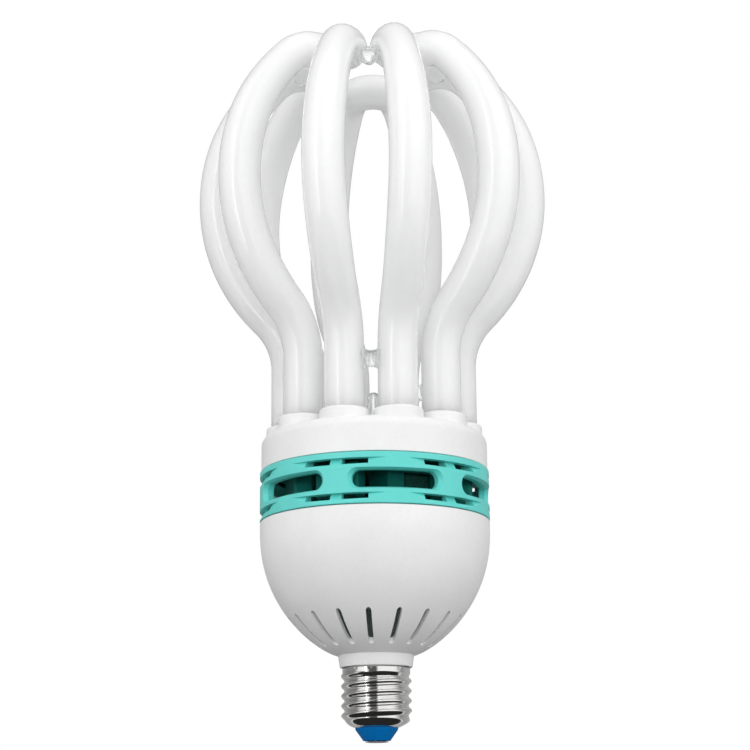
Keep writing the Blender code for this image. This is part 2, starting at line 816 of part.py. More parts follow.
def make_components(group, cutters, paint):
    """Pieces that hang from the control board."""
    hung_rod("bulk_capacitor", bulk_radius, bulk_length, bulk_reach, bulk_angle, group,
             paint["sleeve"])
    core_seat = hang(choke_reach, choke_angle, choke_height / 2)
    core = box_object("choke_core", (choke_width, choke_length, choke_height), core_seat,
                      group, paint["ferrite"], choke_edge)
    side = choke_limb + fit_gap
    for sign, label in ((-1.0, "left"), (1.0, "right")):
        spot = core_seat @ Matrix.Translation((sign * choke_width / 2, 0.0, 0.0))
        opening = (choke_width - choke_limb, choke_length - 2 * side, choke_window)
        cutter = box_object(f"choke_{label}", opening, spot, cutters, None)
        combine(core, as_cutter(cutter), "DIFFERENCE")
    for sign, label in ((-1.0, "left"), (1.0, "right")):
        width = (choke_width - choke_limb) / 2 - 2 * fit_gap
        shift = sign * (choke_limb / 2 + fit_gap + width / 2)
        spot = core_seat @ Matrix.Translation((shift, 0.0, 0.0))
        size = (width, choke_length - 2 * side - 2 * fit_gap, choke_window - 2 * fit_gap)
        box_object(f"choke_winding_{label}", size, spot, group, paint["copper"], winding_edge)
    film_size = (film_width, film_length, film_height)
    for index, angle in enumerate(film_angles):
        seat = hang(film_reach, angle, film_height / 2)
        box_object(f"film_capacitor_{index + 1}", film_size, seat, group, paint["film"],
                   film_edge)
    section = toroid_section
    circle = arc_points((toroid_radius - section, 0.0), section, 90.0, -225.0, 7)
    ring = turned("drive_toroid", circle, group, paint["ferrite"], small_steps)
    ring.matrix_world = hang(toroid_reach, toroid_angle, section)
    transistor_size = (transistor_thickness, transistor_width, transistor_height)
    for index, angle in enumerate(transistor_angles):
        seat = hang(transistor_reach, angle, transistor_height / 2)
        box_object(f"transistor_{index + 1}", transistor_size, seat, group, paint["black"],
                   transistor_edge)
    drum = [(0.0, 0.0), (filter_flange_radius, 0.0), (filter_flange_radius, -filter_flange),
            (filter_core_radius, -filter_flange),
            (filter_core_radius, filter_flange - filter_height),
            (filter_flange_radius, filter_flange - filter_height),
            (filter_flange_radius, -filter_height), (0.0, -filter_height)]
    spool = turned("filter_core", drum, group, paint["ferrite"], small_steps,
                   closed=False)
    spool.matrix_world = hang(filter_reach, filter_angle, 0.0)
    inner = filter_core_radius + fit_gap
    outer = filter_flange_radius - fit_gap
    high = -filter_flange - fit_gap
    low = filter_flange - filter_height + fit_gap
    rim = [(outer, high), (outer, low), (inner, low), (inner, high)]
    winding = turned("filter_winding", rim, group, paint["copper"], small_steps)
    winding.matrix_world = hang(filter_reach, filter_angle, 0.0)
    for index in range(diode_count):
        angle = diode_first_angle + diode_spacing_angle * index
        hung_rod(f"diode_{index + 1}", diode_radius, diode_length, diode_reach, angle, group,
                 paint["black"], 8)
    hung_rod("fuse_resistor", fuse_radius, fuse_length, fuse_reach, fuse_angle, group,
             paint["green"])
    disc = add_object("varistor", rod_mesh("varistor", varistor_radius, varistor_thickness, 16),
                      group, paint["blue"])
    seat = hang(varistor_reach, varistor_angle, varistor_radius)
    flat = Matrix.Rotation(math.pi / 2, 4, "Y")
    disc.matrix_world = seat @ flat @ Matrix.Translation((0.0, 0.0, -varistor_thickness / 2))


def make_wires(group, paint):
    """Wires from the cap to the board and from the board to the electrodes."""
    top = hang_height
    live = [Vector((0.0, 0.0, contact_stem_end + fit_gap)), Vector((0.0, 0.0, neck_bottom)),
            Vector((wire_bow, 0.0, (neck_bottom + top) / 2)), Vector((0.0, 0.0, top))]
    tube_object("live_wire", live, wire_radius, 2, group, paint["black"])
    bend = spigot_bottom - insulator_top
    level = insulator_top + bend / 2
    far = spigot_radius - 2 * fit_gap
    neutral = [Vector((far, 0.0, level)), Vector((wire_offset + bend, 0.0, level)),
               Vector((wire_offset, 0.0, spigot_bottom + bend)),
               Vector((wire_offset, 0.0, top))]
    tube_object("neutral_wire", neutral, wire_radius, 2, group, paint["blue"])
    count = 1
    first_gap = petal_first_angle + 180.0 / petal_count
    for angle in (first_gap - leg_half_angle, first_gap + leg_half_angle):
        for side in (-1.0, 1.0):
            foot = place(base_circle, angle, 0.0)
            across = Vector((-foot.y, foot.x, 0.0)).normalized() * side * lead_spacing / 2
            low = foot + across + Vector((0.0, 0.0, board_top + fit_gap))
            high = foot + across + Vector((0.0, 0.0, leg_bottom - fit_gap))
            tube_object(f"electrode_lead_{count}", [low, high], lead_radius, 2, group,
                        paint["tin"])
            count += 1


def build_lamp():
    """Build every piece of the lamp."""
    clear_scene()
    lamp = make_collection("compact_fluorescent_lamp")
    cutters = make_collection("cutters")
    paint = {
        "white": make_material("white_housing", (0.80, 0.80, 0.80), 0.45),
        "teal": make_material("teal_ring", (0.13, 0.66, 0.58), 0.35),
        "glass": make_material("coated_glass", (0.86, 0.87, 0.87), 0.08),
        "clear": make_material("clear_bead", (0.80, 0.85, 0.85), 0.08, 0.0, 0.6),
        "steel": make_material("plated_shell", (0.75, 0.75, 0.74), 0.18, 1.0),
        "insulator": make_material("blue_insulator", (0.005, 0.10, 0.30), 0.30),
        "solder": make_material("contact_metal", (0.62, 0.60, 0.58), 0.35, 1.0),
        "board": make_material("board_laminate", (0.10, 0.22, 0.10), 0.60),
        "sleeve": make_material("capacitor_sleeve", (0.03, 0.05, 0.10), 0.35),
        "film": make_material("film_capacitor_case", (0.45, 0.07, 0.04), 0.40),
        "ferrite": make_material("ferrite", (0.06, 0.06, 0.06), 0.70),
        "copper": make_material("winding_copper", (0.60, 0.25, 0.10), 0.35, 1.0),
        "black": make_material("moulded_black", (0.03, 0.03, 0.03), 0.50),
        "green": make_material("resistor_body", (0.15, 0.40, 0.30), 0.50),
        "blue": make_material("disc_lacquer", (0.05, 0.15, 0.45), 0.40),
        "tin": make_material("tinned_wire", (0.70, 0.70, 0.68), 0.35, 1.0),
    }
    make_contact(lamp, paint["solder"])
    make_insulator(lamp, paint["insulator"])
    make_screw_shell(lamp, paint["steel"])
    make_lower_housing(lamp, cutters, paint["white"])
    make_vent_ring(lamp, cutters, paint["teal"])
    make_upper_cover(lamp, cutters, paint["white"])
    petals = make_petals(lamp, paint["glass"])
    make_bridges(lamp, cutters, paint["glass"])
    make_beads(petals, lamp, cutters, paint["clear"])
    make_stem(lamp, paint["glass"])
    make_board(lamp, paint["board"])
    make_components(lamp, cutters, paint)
    make_wires(lamp, paint)


build_lamp()
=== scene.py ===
"""Looks of a compact fluorescent lamp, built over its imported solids.

Lengths are metres. The origin is the bottom of the centre contact, on the axis, and +Z runs
from the cap to the glass. Angles round the axis are degrees from the front (-Y) towards +X.
"""
import json
import logging
import math
from collections.abc import Callable
from dataclasses import dataclass
from enum import Enum
from functools import cache

import bpy
from mathutils import Matrix, Vector

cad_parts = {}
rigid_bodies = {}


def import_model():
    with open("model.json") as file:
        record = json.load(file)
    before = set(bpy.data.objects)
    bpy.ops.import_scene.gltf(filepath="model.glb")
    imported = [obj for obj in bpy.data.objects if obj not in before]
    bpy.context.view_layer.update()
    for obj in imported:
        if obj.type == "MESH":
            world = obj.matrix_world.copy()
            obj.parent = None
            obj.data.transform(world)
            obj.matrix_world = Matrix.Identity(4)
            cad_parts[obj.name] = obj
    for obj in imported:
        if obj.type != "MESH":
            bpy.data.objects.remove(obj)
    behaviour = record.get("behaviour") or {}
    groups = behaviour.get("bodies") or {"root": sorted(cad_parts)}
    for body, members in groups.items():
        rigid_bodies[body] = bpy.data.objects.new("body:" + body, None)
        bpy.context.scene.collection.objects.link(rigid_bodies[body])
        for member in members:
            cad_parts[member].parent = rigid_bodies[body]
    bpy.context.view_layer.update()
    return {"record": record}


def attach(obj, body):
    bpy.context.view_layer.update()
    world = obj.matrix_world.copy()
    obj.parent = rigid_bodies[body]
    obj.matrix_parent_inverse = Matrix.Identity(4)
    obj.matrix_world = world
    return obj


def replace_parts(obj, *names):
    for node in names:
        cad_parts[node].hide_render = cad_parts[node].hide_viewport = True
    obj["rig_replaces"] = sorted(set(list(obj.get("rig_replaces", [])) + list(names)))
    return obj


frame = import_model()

LOG = logging.getLogger("lamp")
WELD = 0.000001
MERGE = 0.000005
CREASE = math.radians(32.0)

Item = bpy.types.Object
Socket = bpy.types.NodeSocket
Triple = tuple[float, float, float]
Outline = list[tuple[float, float]]


# Shared sizes


@dataclass(frozen=True)
class Plan:
    """Sizes that more than one piece follows."""

    gap: float = 0.0003
    tube_radius: float = 0.00735
    petal_count: int = 5
    petal_first_angle: float = 34.34
    base_circle: float = 0.0316
    leg_half_angle: float = 18.0
    neck_bottom: float = 0.0269
    neck_top: float = 0.0313
    bowl_rim: float = 0.0802
    bowl_radius: float = 0.0428
    ring_bottom: float = 0.0805
    ring_top: float = 0.0990
    ring_radius: float = 0.0429
    cover_bottom: float = 0.0993
    cover_top: float = 0.1130
    cover_radius: float = 0.0424
    leg_bottom: float = 0.1040
    straight_top: float = 0.1393
    insulator_bottom: float = 0.0006
    insulator_top: float = 0.0090
    hole_radius: float = 0.0016

    @property
    def petal_pitch(self) -> float:
        """Angle from one petal to the next, in degrees."""
        return 360.0 / self.petal_count

    def petal_angles(self) -> list[float]:
        """Angle of the middle of each petal."""
        return [self.petal_first_angle + self.petal_pitch * i for i in range(self.petal_count)]

    def leg_angles(self) -> list[float]:
        """Angle of each leg of the glass."""
        halves = (-self.leg_half_angle, self.leg_half_angle)
        return [angle + half for angle in self.petal_angles() for half in halves]


PLAN = Plan()


def facing(angle: float) -> Matrix:
    """Return the turn that takes +X to the outward direction at an angle in degrees."""
    return Matrix.Rotation(math.radians(angle - 90.0), 4, "Z")


def spot(radius: float, angle: float, height: float) -> Vector:
    """Return the point at a radius, an angle in degrees and a height."""
    return facing(angle) @ Vector((radius, 0.0, height))


def arc(centre: tuple[float, float], radius: float, start: float, end: float,
        steps: int) -> Outline:
    """Return points on an arc.

    Args:
        centre: Middle of the arc, as radius and height.
        radius: Radius of the arc.
        start: First angle in degrees, from the outward direction upwards.
        end: Last angle in degrees.
        steps: Number of steps from the first point to the last.

    Returns:
        The points as radius and height.
    """
    points = []
    for index in range(steps + 1):
        turn = math.radians(start + (end - start) * index / steps)
        points.append((centre[0] + radius * math.cos(turn), centre[1] + radius * math.sin(turn)))
    return points


def ease(value: float) -> float:
    """Return an ease from 0 to 1 that is flat at both ends."""
    share = min(max(value, 0.0), 1.0)
    return share * share * (3.0 - 2.0 * share)


# Modelling by hand, with Blender's operators


class Bench:
    """Steps of modelling, each made with operators on the piece in hand."""

    @staticmethod
    def clear() -> None:
        """Leave edit mode and deselect everything."""
        if bpy.context.object and bpy.context.object.mode != "OBJECT":
            bpy.ops.object.mode_set(mode="OBJECT")
        bpy.ops.object.select_all(action="DESELECT")

    @staticmethod
    def take(item: Item) -> None:
        """Select one piece only and make it the active one."""
        Bench.clear()
        item.select_set(True)
        bpy.context.view_layer.objects.active = item

    @staticmethod
    def start(name: str, primitive: Callable[..., set[str]], **values: object) -> Item:
        """Add a mesh with one of Blender's primitives and name it."""
        Bench.clear()
        primitive(**values)
        return Bench.name(bpy.context.object, name)

    @staticmethod
    def edit(item: Item) -> None:
        """Open one piece in edit mode with everything selected."""
        Bench.take(item)
        bpy.ops.object.mode_set(mode="EDIT")
        bpy.ops.mesh.select_all(action="SELECT")

    @staticmethod
    def name(item: Item, name: str) -> Item:
        """Give a piece and its mesh one name."""
        item.name = name
        item.data.name = name
        return item

    @staticmethod
    def settle(item: Item, placed: Matrix | None = None) -> Item:
        """Move a piece by a matrix and put its place into its mesh.

        Args:
            item: The piece.
            placed: Move and turn, applied after the piece's own.

        Returns:
            The same piece, unturned at the origin.
        """
        Bench.take(item)
        if placed is not None:
            item.matrix_world = placed @ item.matrix_world
        bpy.ops.object.transform_apply(location=True, rotation=True, scale=True)
        return item

    @staticmethod
    def chain(name: str, points: list[Vector]) -> Item:
        """Draw a chain of edges by extruding one vertex from point to point.

        Args:
            name: Name of the new piece.
            points: Points in metres.

        Returns:
            The piece, a chain of edges with its place in its mesh.
        """
        item = Bench.start(name, bpy.ops.mesh.primitive_plane_add, size=WELD, location=points[0])
        Bench.edit(item)
        bpy.ops.mesh.select_mode(type="VERT")
        bpy.ops.mesh.merge(type="CENTER")
        for before, after in zip(points, points[1:]):
            bpy.ops.mesh.extrude_vertices_move(TRANSFORM_OT_translate={"value": after - before})
        bpy.ops.object.mode_set(mode="OBJECT")
        return Bench.settle(item)

    @staticmethod
    def tidy(item: Item) -> Item:
        """Merge doubled vertices and turn all faces outwards.

        Args:
            item: The piece.

        Returns:
            The same piece.
        """
        Bench.edit(item)
        bpy.ops.mesh.remove_doubles(threshold=MERGE)
        bpy.ops.mesh.normals_make_consistent(inside=False)
        bpy.ops.object.mode_set(mode="OBJECT")
        return item

    @staticmethod
    def turned(name: str, outline: Outline, steps: int, closed: bool = True) -> Item:
        """Turn an outline once round the axis with Spin.

        Args:
            name: Name of the new piece.
            outline: Points as radius and height.
            steps: Number of steps in the turn.
            closed: Whether the last point joins the first.

        Returns:
            The turned piece, with its faces outwards.
        """
        points = [Vector((radius, 0.0, height)) for radius, height in outline]
        item = Bench.chain(name, points + points[:1] if closed else points)
        Bench.edit(item)
        bpy.ops.mesh.spin(steps=steps, angle=math.tau, center=(0, 0, 0), axis=(0, 0, 1))
        return Bench.tidy(item)

    @staticmethod
    def rod(name: str, points: list[Vector], radius: float, round_steps: int,
            shares: list[float] | None = None) -> Item:
        """Draw a round rod along points, as a curve with a bevel, and make it a mesh.

        Args:
            name: Name of the new piece.
            points: Points of the centre line.
            radius: Radius of the rod.
            round_steps: Resolution of the bevel.
            shares: Share of the radius at each point, if it changes, the same from both ends.

        Returns:
            The rod.
        """
        item = Bench.chain(name, points)
        Bench.take(item)
        bpy.ops.object.convert(target="CURVE")
        line = bpy.context.object
        for point, share in zip(line.data.splines[0].points, shares or []):
            point.radius = share
        line.data.bevel_depth = radius
        line.data.bevel_resolution = round_steps
        line.data.use_fill_caps = True
        bpy.ops.object.convert(target="MESH")
        return Bench.tidy(Bench.name(bpy.context.object, name))

    @staticmethod
    def strip(name: str, columns: Outline) -> Item:
        """Make a flat face in the YZ plane from columns that have one height each.

        Args:
            name: Name of the new piece.
            columns: Place along Y and half height of each column.

        Returns:
            The flat piece, with all of it selected.
        """
        item = Bench.start(name, bpy.ops.mesh.primitive_grid_add, size=2.0,
                           x_subdivisions=len(columns) - 1, y_subdivisions=1)
        for vertex in item.data.vertices:
            index = round((vertex.co.x + 1.0) / 2.0 * (len(columns) - 1))
            place, half = columns[index]
            vertex.co = (0.0, place, math.copysign(half, vertex.co.y))
        return Bench.tidy(item)

    @staticmethod
    def obround(name: str, length: float, height: float, end_steps: int, cuts: int) -> Item:
        """Make a flat face with round ends in the YZ plane.

        Args:
            name: Name of the new piece.
            length: Whole length along Y.
            height: Whole height along Z, at most the length.
            end_steps: Steps in each round end.
            cuts: Steps in the straight middle.

        Returns:
            The flat piece, with all of it selected.
        """
        half = height / 2
        flat = length / 2 - half
        turns = [math.pi / 2 * index / end_steps for index in range(end_steps + 1)]
        left = [(-flat - half * math.cos(turn), half * math.sin(turn)) for turn in turns]
        middle = [(flat * (2 * index / cuts - 1.0), half) for index in range(1, cuts)]
        right = [(-place, tall) for place, tall in reversed(left)]
        return Bench.strip(name, left + middle + right)

    @staticmethod
    def push(item: Item, offset: Vector, grow: Triple = (1.0, 1.0, 1.0)) -> None:
        """Extrude the selected face of a flat piece and scale the new end.

        Args:
            item: The flat piece.
            offset: Way of the extrusion.
            grow: Scale of the new end from the origin.
        """
        Bench.take(item)
        bpy.ops.object.mode_set(mode="EDIT")
        bpy.ops.mesh.extrude_region_move(TRANSFORM_OT_translate={"value": offset})
        if grow != (1.0, 1.0, 1.0):
            bpy.ops.transform.resize(value=grow, center_override=(0, 0, 0))
        bpy.ops.object.mode_set(mode="OBJECT")

    @staticmethod
    def roll_up(item: Item, radius: float) -> Item:
        """Wrap a piece round the axis: X becomes the radius and Y the way round.

        Args:
            item: The piece.
            radius: Radius at which Y keeps its length.

        Returns:
            The same piece.
        """
        for vertex in item.data.vertices:
            turn = vertex.co.y / radius
            reach = vertex.co.x
            vertex.co.x = reach * math.cos(turn)
            vertex.co.y = reach * math.sin(turn)
        return item

    @staticmethod
    def copy(item: Item, place: Matrix) -> Item:
        """Copy a piece, with a mesh of its own, to a place."""
        Bench.take(item)
        bpy.ops.object.duplicate(linked=False)
        return Bench.settle(bpy.context.object, place)

    @staticmethod
    def modify(item: Item, kind: str, **values: object) -> None:
        """Add a modifier with its values and apply it.

        Args:
            item: The piece.
            kind: Type of the modifier.
            values: Its own properties.
        """
        Bench.take(item)
        change = item.modifiers.new(kind.lower(), kind)
        for key, value in values.items():
            setattr(change, key, value)
        bpy.ops.object.modifier_apply(modifier=change.name)

    @staticmethod
    def combine(item: Item, other: Item, places: list[Matrix],
                operation: str = "DIFFERENCE") -> None:
        """Apply one exact Boolean with copies of another piece.

        Args:
            item: The piece that changes.
            other: The piece to copy. It is used up.
            places: A matrix for each copy.
            operation: Kind of Boolean.
        """
        made = [Bench.copy(other, place) for place in places]
        Bench.clear()
        bpy.data.objects.remove(other, do_unlink=True)
        for piece in made:
            piece.select_set(True)
        bpy.context.view_layer.objects.active = made[0]
        bpy.ops.object.join()
        Bench.modify(item, "BOOLEAN", operation=operation, solver="EXACT", object=made[0])
        bpy.data.objects.remove(made[0], do_unlink=True)

    @staticmethod
    def smooth(item: Item, crease: float) -> None:
        """Shade a piece smooth, apart from edges sharper than an angle."""
        Bench.take(item)
        bpy.ops.object.shade_smooth_by_angle(angle=crease)


# Finishes


class Texture(Enum):
    """Pattern that a finish shows close up."""

    GRAINED = "grained"
    PLATED = "plated"
    WOUND = "wound"
    WOVEN = "woven"


class Nodes:
    """Short calls for wiring shader nodes."""

    def __init__(self, tree: bpy.types.NodeTree) -> None:
        """Keep the tree that the nodes go into."""
        self.tree = tree

    @classmethod
    def material(cls, name: str) -> tuple[bpy.types.Material, "Nodes", bpy.types.Node]:
        """Start a material and return it, the helper for its nodes and its shader."""
        material = bpy.data.materials.new(name)
        material.use_nodes = True
        return material, cls(material.node_tree), material.node_tree.nodes["Principled BSDF"]

    def feed(self, socket: Socket, value: object) -> None:
        """Link an input to a socket, or set it to a number, a colour or a vector.

        Args:
            socket: The input.
            value: A socket or a value. A colour is given without its alpha.
        """
        if isinstance(value, bpy.types.NodeSocket):
            self.tree.links.new(value, socket)
        else:
            socket.default_value = (*value, 1.0) if socket.type == "RGBA" else value

    def add(self, kind: str, inputs: dict[str | int, object] | None = None,
            **values: object) -> bpy.types.Node:
        """Add a node.

        Args:
            kind: Type of the node.
            inputs: What feeds its inputs, by name or number.
            values: Its own properties, set first.

        Returns:
            The node.
        """
        node = self.tree.nodes.new(kind)
        for key, value in values.items():
            setattr(node, key, value)
        for key, value in (inputs or {}).items():
            self.feed(node.inputs[key], value)
        return node

    def group(self, tree: bpy.types.NodeTree, inputs: dict[str, object]) -> dict[str, Socket]:
        """Place a group with its inputs and return its outputs."""
        return self.add("ShaderNodeGroup", inputs, node_tree=tree).outputs

    def maths(self, operation: str, *values: object) -> Socket:
        """Add a Math node and return its result."""
        node = self.add("ShaderNodeMath", dict(enumerate(values)), operation=operation)
        return node.outputs[0]

    def lerp(self, factor: Socket, first: object, second: object) -> Socket:
        """Mix two numbers by a factor and return the result."""
        feeds = {"Factor": factor, 2: first, 3: second}
        return self.add("ShaderNodeMix", feeds, data_type="FLOAT").outputs[0]

    def blend(self, factor: Socket, first: object, second: object) -> Socket:
        """Mix two colours by a factor and return the result."""
        feeds = {"Factor": factor, 6: first, 7: second}
        return self.add("ShaderNodeMix", feeds, data_type="RGBA").outputs[2]

    def span(self, value: Socket, low: float, high: float, kind: str = "LINEAR") -> Socket:
        """Return how far a value is from one limit to another, between 0 and 1."""
        feeds = {"Value": value, "From Min": low, "From Max": high}
        return self.add("ShaderNodeMapRange", feeds, interpolation_type=kind).outputs["Result"]

    def place(self, kind: str) -> Socket:
        """Return a kind of texture coordinate."""
        return self.add("ShaderNodeTexCoord").outputs[kind]

    def axes(self, kind: str) -> list[Socket]:
        """Return X, Y and Z of a kind of texture coordinate."""
        return list(self.add("ShaderNodeSeparateXYZ", {"Vector": self.place(kind)}).outputs)

    def noise(self, scale: object, detail: float = 2.0, stretch: Triple | None = None) -> Socket:
        """Add a noise on Object coordinates, stretched if asked, and return its value.

        Args:
            scale: A number or a socket.
            detail: Detail of the noise.
            stretch: Scale of the coordinates.

        Returns:
            The value of the noise.
        """
        place = self.place("Object")
        if stretch:
            feeds = {"Scale": stretch, "Vector": place}
            place = self.add("ShaderNodeMapping", feeds).outputs["Vector"]
        feeds = {"Detail": detail, "Vector": place, "Scale": scale}
        return self.add("ShaderNodeTexNoise", feeds).outputs["Fac"]

    def ramp(self, value: Socket, stops: Outline) -> Socket:
        """Add a ramp of greys, given as places and levels, and return its colour.

        Args:
            value: Place on the ramp.
            stops: Place and level of each stop, in order.

        Returns:
            The colour of the ramp.
        """
        node = self.add("ShaderNodeValToRGB", {"Fac": value})
        elements = node.color_ramp.elements
        elements.remove(elements[1])
        elements[0].position = stops[0][0]
        for place, level in stops[1:]:
            elements.new(place)
        for element, (place, level) in zip(elements, stops):
            element.color = (level, level, level, 1.0)
        return node.outputs["Color"]


class Effects:
    """Node groups that several finishes share, each built once."""

    CLOUD_LIMITS = (0.34, 0.66)
    MARK_LIMITS = (0.50, 0.78)
    MARK_STRETCH = (2.0, 2.0, 90.0)
    ROW_LEAN = 0.04

    @staticmethod
    def _open(name: str, inputs: dict[str, float | Triple],
              outputs: tuple[str, ...]) -> tuple[Nodes, dict, dict]:
        """Start a group and its sockets.

        Args:
            name: Name of the group.
            inputs: Name and starting value of each input.
            outputs: Name of each output, of which only Colour is a colour.

        Returns:
            The wiring helper, the input sockets and the output sockets.
        """
        tree = bpy.data.node_groups.new(name, "ShaderNodeTree")
        for key, value in inputs.items():
            kind = "NodeSocketFloat" if isinstance(value, float) else "NodeSocketColor"
            socket = tree.interface.new_socket(name=key, in_out="INPUT", socket_type=kind)
            socket.default_value = value if isinstance(value, float) else (*value, 1.0)
        for key in outputs:
            kind = "NodeSocketColor" if key == "Colour" else "NodeSocketFloat"
            tree.interface.new_socket(name=key, in_out="OUTPUT", socket_type=kind)
        nodes = Nodes(tree)
        return nodes, nodes.add("NodeGroupInput").outputs, nodes.add("NodeGroupOutput").inputs

    @staticmethod
    @cache
    def clouds() -> bpy.types.NodeTree:
        """Slow change of colour and roughness, as in any moulded or coated surface.

        Returns:
            The group.
        """
        nodes, given, made = Effects._open(
            "slow_clouds",
            {"Colour": (0.8, 0.8, 0.8), "Shade": (0.7, 0.7, 0.7), "Scale": 60.0,
             "Roughness": 0.4, "Roughness Spread": 0.06}, ("Colour", "Roughness"))
        broad = nodes.noise(given["Scale"], 3.0)
        fine = nodes.noise(nodes.maths("MULTIPLY", given["Scale"], 14.0))
        mixed = nodes.maths("MULTIPLY_ADD", broad, 0.65, nodes.maths("MULTIPLY", fine, 0.35))
        level = nodes.span(mixed, *Effects.CLOUD_LIMITS)
        nodes.feed(made["Colour"], nodes.blend(level, given["Colour"], given["Shade"]))
        nodes.feed(made["Roughness"], nodes.maths(
            "MULTIPLY_ADD", nodes.maths("SUBTRACT", level, 0.5), given["Roughness Spread"],
            given["Roughness"]))
        return nodes.tree

    @staticmethod
    @cache
    def grain() -> bpy.types.NodeTree:
        """Fine grain of a surface, with a slower waviness under it.

        Returns:
            The group.
        """
        nodes, given, made = Effects._open(
            "mould_grain", {"Grain Scale": 2500.0, "Wave Scale": 60.0, "Wave Share": 0.5},
            ("Height",))
        fine = nodes.noise(given["Grain Scale"])
        wave = nodes.noise(given["Wave Scale"], 1.0)
        nodes.feed(made["Height"], nodes.maths("MULTIPLY_ADD", wave, given["Wave Share"], fine))
        return nodes.tree

    @staticmethod
    @cache
    def scratches() -> bpy.types.NodeTree:
        """Fine marks that run round the axis, as rolling leaves them on plated metal.

        Returns:
            The group.
        """
        nodes, given, made = Effects._open(
            "rolling_marks",
            {"Colour": (0.8, 0.8, 0.8), "Tarnish": (0.5, 0.5, 0.5), "Roughness": 0.15,
             "Mark Roughness": 0.35}, ("Colour", "Roughness", "Height"))
        marks = nodes.noise(40.0, 4.0, Effects.MARK_STRETCH)
        stains = nodes.noise(160.0, 3.0)
        total = nodes.maths("MULTIPLY_ADD", marks, 0.5, nodes.maths("MULTIPLY", stains, 0.6))
        level = nodes.span(total, *Effects.MARK_LIMITS)
        nodes.feed(made["Colour"], nodes.blend(level, given["Colour"], given["Tarnish"]))
        nodes.feed(made["Roughness"],
                   nodes.lerp(level, given["Roughness"], given["Mark Roughness"]))
        nodes.feed(made["Height"], marks)
        return nodes.tree

    @staticmethod
    @cache
    def rows() -> bpy.types.NodeTree:
        """Even rows across the height, as turns of wire or strands of glass cloth, with painted
        shade towards the groove between rows.

        Returns:
            The group.
        """
        nodes, given, made = Effects._open(
            "even_rows",
            {"Row Height": 0.0006, "Colour": (0.8, 0.8, 0.8), "Painted Groove Shade": (0.3, 0.3, 0.3)},
            ("Colour", "Height"))
        across, _, up = nodes.axes("Object")
        lean = nodes.maths("MULTIPLY_ADD", across, Effects.ROW_LEAN, up)
        share = nodes.maths("FRACT", nodes.maths("DIVIDE", lean, given["Row Height"]))
        side = nodes.maths("SUBTRACT", share, 0.5)
        height = nodes.maths("MULTIPLY_ADD", nodes.maths("MULTIPLY", side, side), -4.0, 1.0)
        nodes.feed(made["Height"], height)
        # Painted shade: the colour darkens towards the groove between two rows.
        nodes.feed(made["Colour"], nodes.blend(height, given["Painted Groove Shade"], given["Colour"]))
        return nodes.tree


ROW_HEIGHTS = {Texture.WOUND: 0.0006, Texture.WOVEN: 0.0004}


@dataclass(frozen=True)
class Finish:
    """One finish of the lamp, built as a Principled material.

    The shade is the colour that slow clouds and tarnish take, and the painted shade in the grooves
    between wound or woven rows.
    """

    slot: str
    texture: Texture
    colour: Triple
    shade: Triple
    roughness: float
    metallic: float = 0.0
    coat: float = 0.0
    transmission: float = 0.0
    scatter: float = 0.0
    ior: float = 1.5
    bump: float = 0.1
    bump_depth: float = 0.0001
    cloud_scale: float = 60.0
    grain_scale: float = 2500.0
    coat_roughness: float = 0.03
    roughness_spread: float = 0.3
    mark_roughness: float = 2.4
    wave_scale: float = 1.5
    wave_share: float = 0.6

    def build(self) -> bpy.types.Material:
        """Build the material.

        Returns:
            The material.
        """
        material, nodes, shader = Nodes.material(f"{self.slot}_finish")
        values = {"Metallic": self.metallic, "IOR": self.ior, "Coat Weight": self.coat,
                  "Coat Roughness": self.coat_roughness,
                  "Transmission Weight": self.transmission}
        if self.scatter:
            values |= {"Subsurface Weight": 1.0, "Subsurface Radius": (1.0, 1.0, 1.0),
                       "Subsurface Scale": self.scatter}
        for key, value in values.items():
            shader.inputs[key].default_value = value
        for key, value in self._pattern(nodes).items():
            nodes.feed(shader.inputs[key], value)
        return material

    def _pattern(self, nodes: Nodes) -> dict[str, Socket]:
        """Wire the groups that the texture asks for.

        Args:
            nodes: Wiring helper of the material.

        Returns:
            What feeds the shader's colour, roughness and normals.
        """
        if self.texture is Texture.PLATED:
            marks = nodes.group(Effects.scratches(), {
                "Colour": self.colour, "Tarnish": self.shade, "Roughness": self.roughness,
                "Mark Roughness": self.roughness * self.mark_roughness})
            return {"Base Color": marks["Colour"], "Roughness": marks["Roughness"],
                    **self._relief(nodes, marks["Height"])}
        clouds = nodes.group(Effects.clouds(), {
            "Colour": self.colour, "Shade": self.shade, "Scale": self.cloud_scale,
            "Roughness": self.roughness,
            "Roughness Spread": self.roughness * self.roughness_spread})
        colour = clouds["Colour"]
        if self.texture in ROW_HEIGHTS:
            over = nodes.group(Effects.rows(), {
                "Row Height": ROW_HEIGHTS[self.texture], "Painted Groove Shade": self.shade, "Colour": colour})
            colour = over["Colour"]
        else:
            over = nodes.group(Effects.grain(), {
                "Grain Scale": self.grain_scale, "Wave Share": self.wave_share,
                "Wave Scale": self.cloud_scale * self.wave_scale})
        return {"Base Color": colour, "Roughness": clouds["Roughness"],
                **self._relief(nodes, over["Height"])}

    def _relief(self, nodes: Nodes, height: Socket) -> dict[str, Socket]:
        """Return the normals that a height gives through a Bump node."""
        feeds = {"Strength": self.bump, "Distance": self.bump_depth, "Height": height}
        normal = nodes.add("ShaderNodeBump", feeds).outputs["Normal"]
        return {"Normal": normal, "Coat Normal": normal} if self.coat else {"Normal": normal}


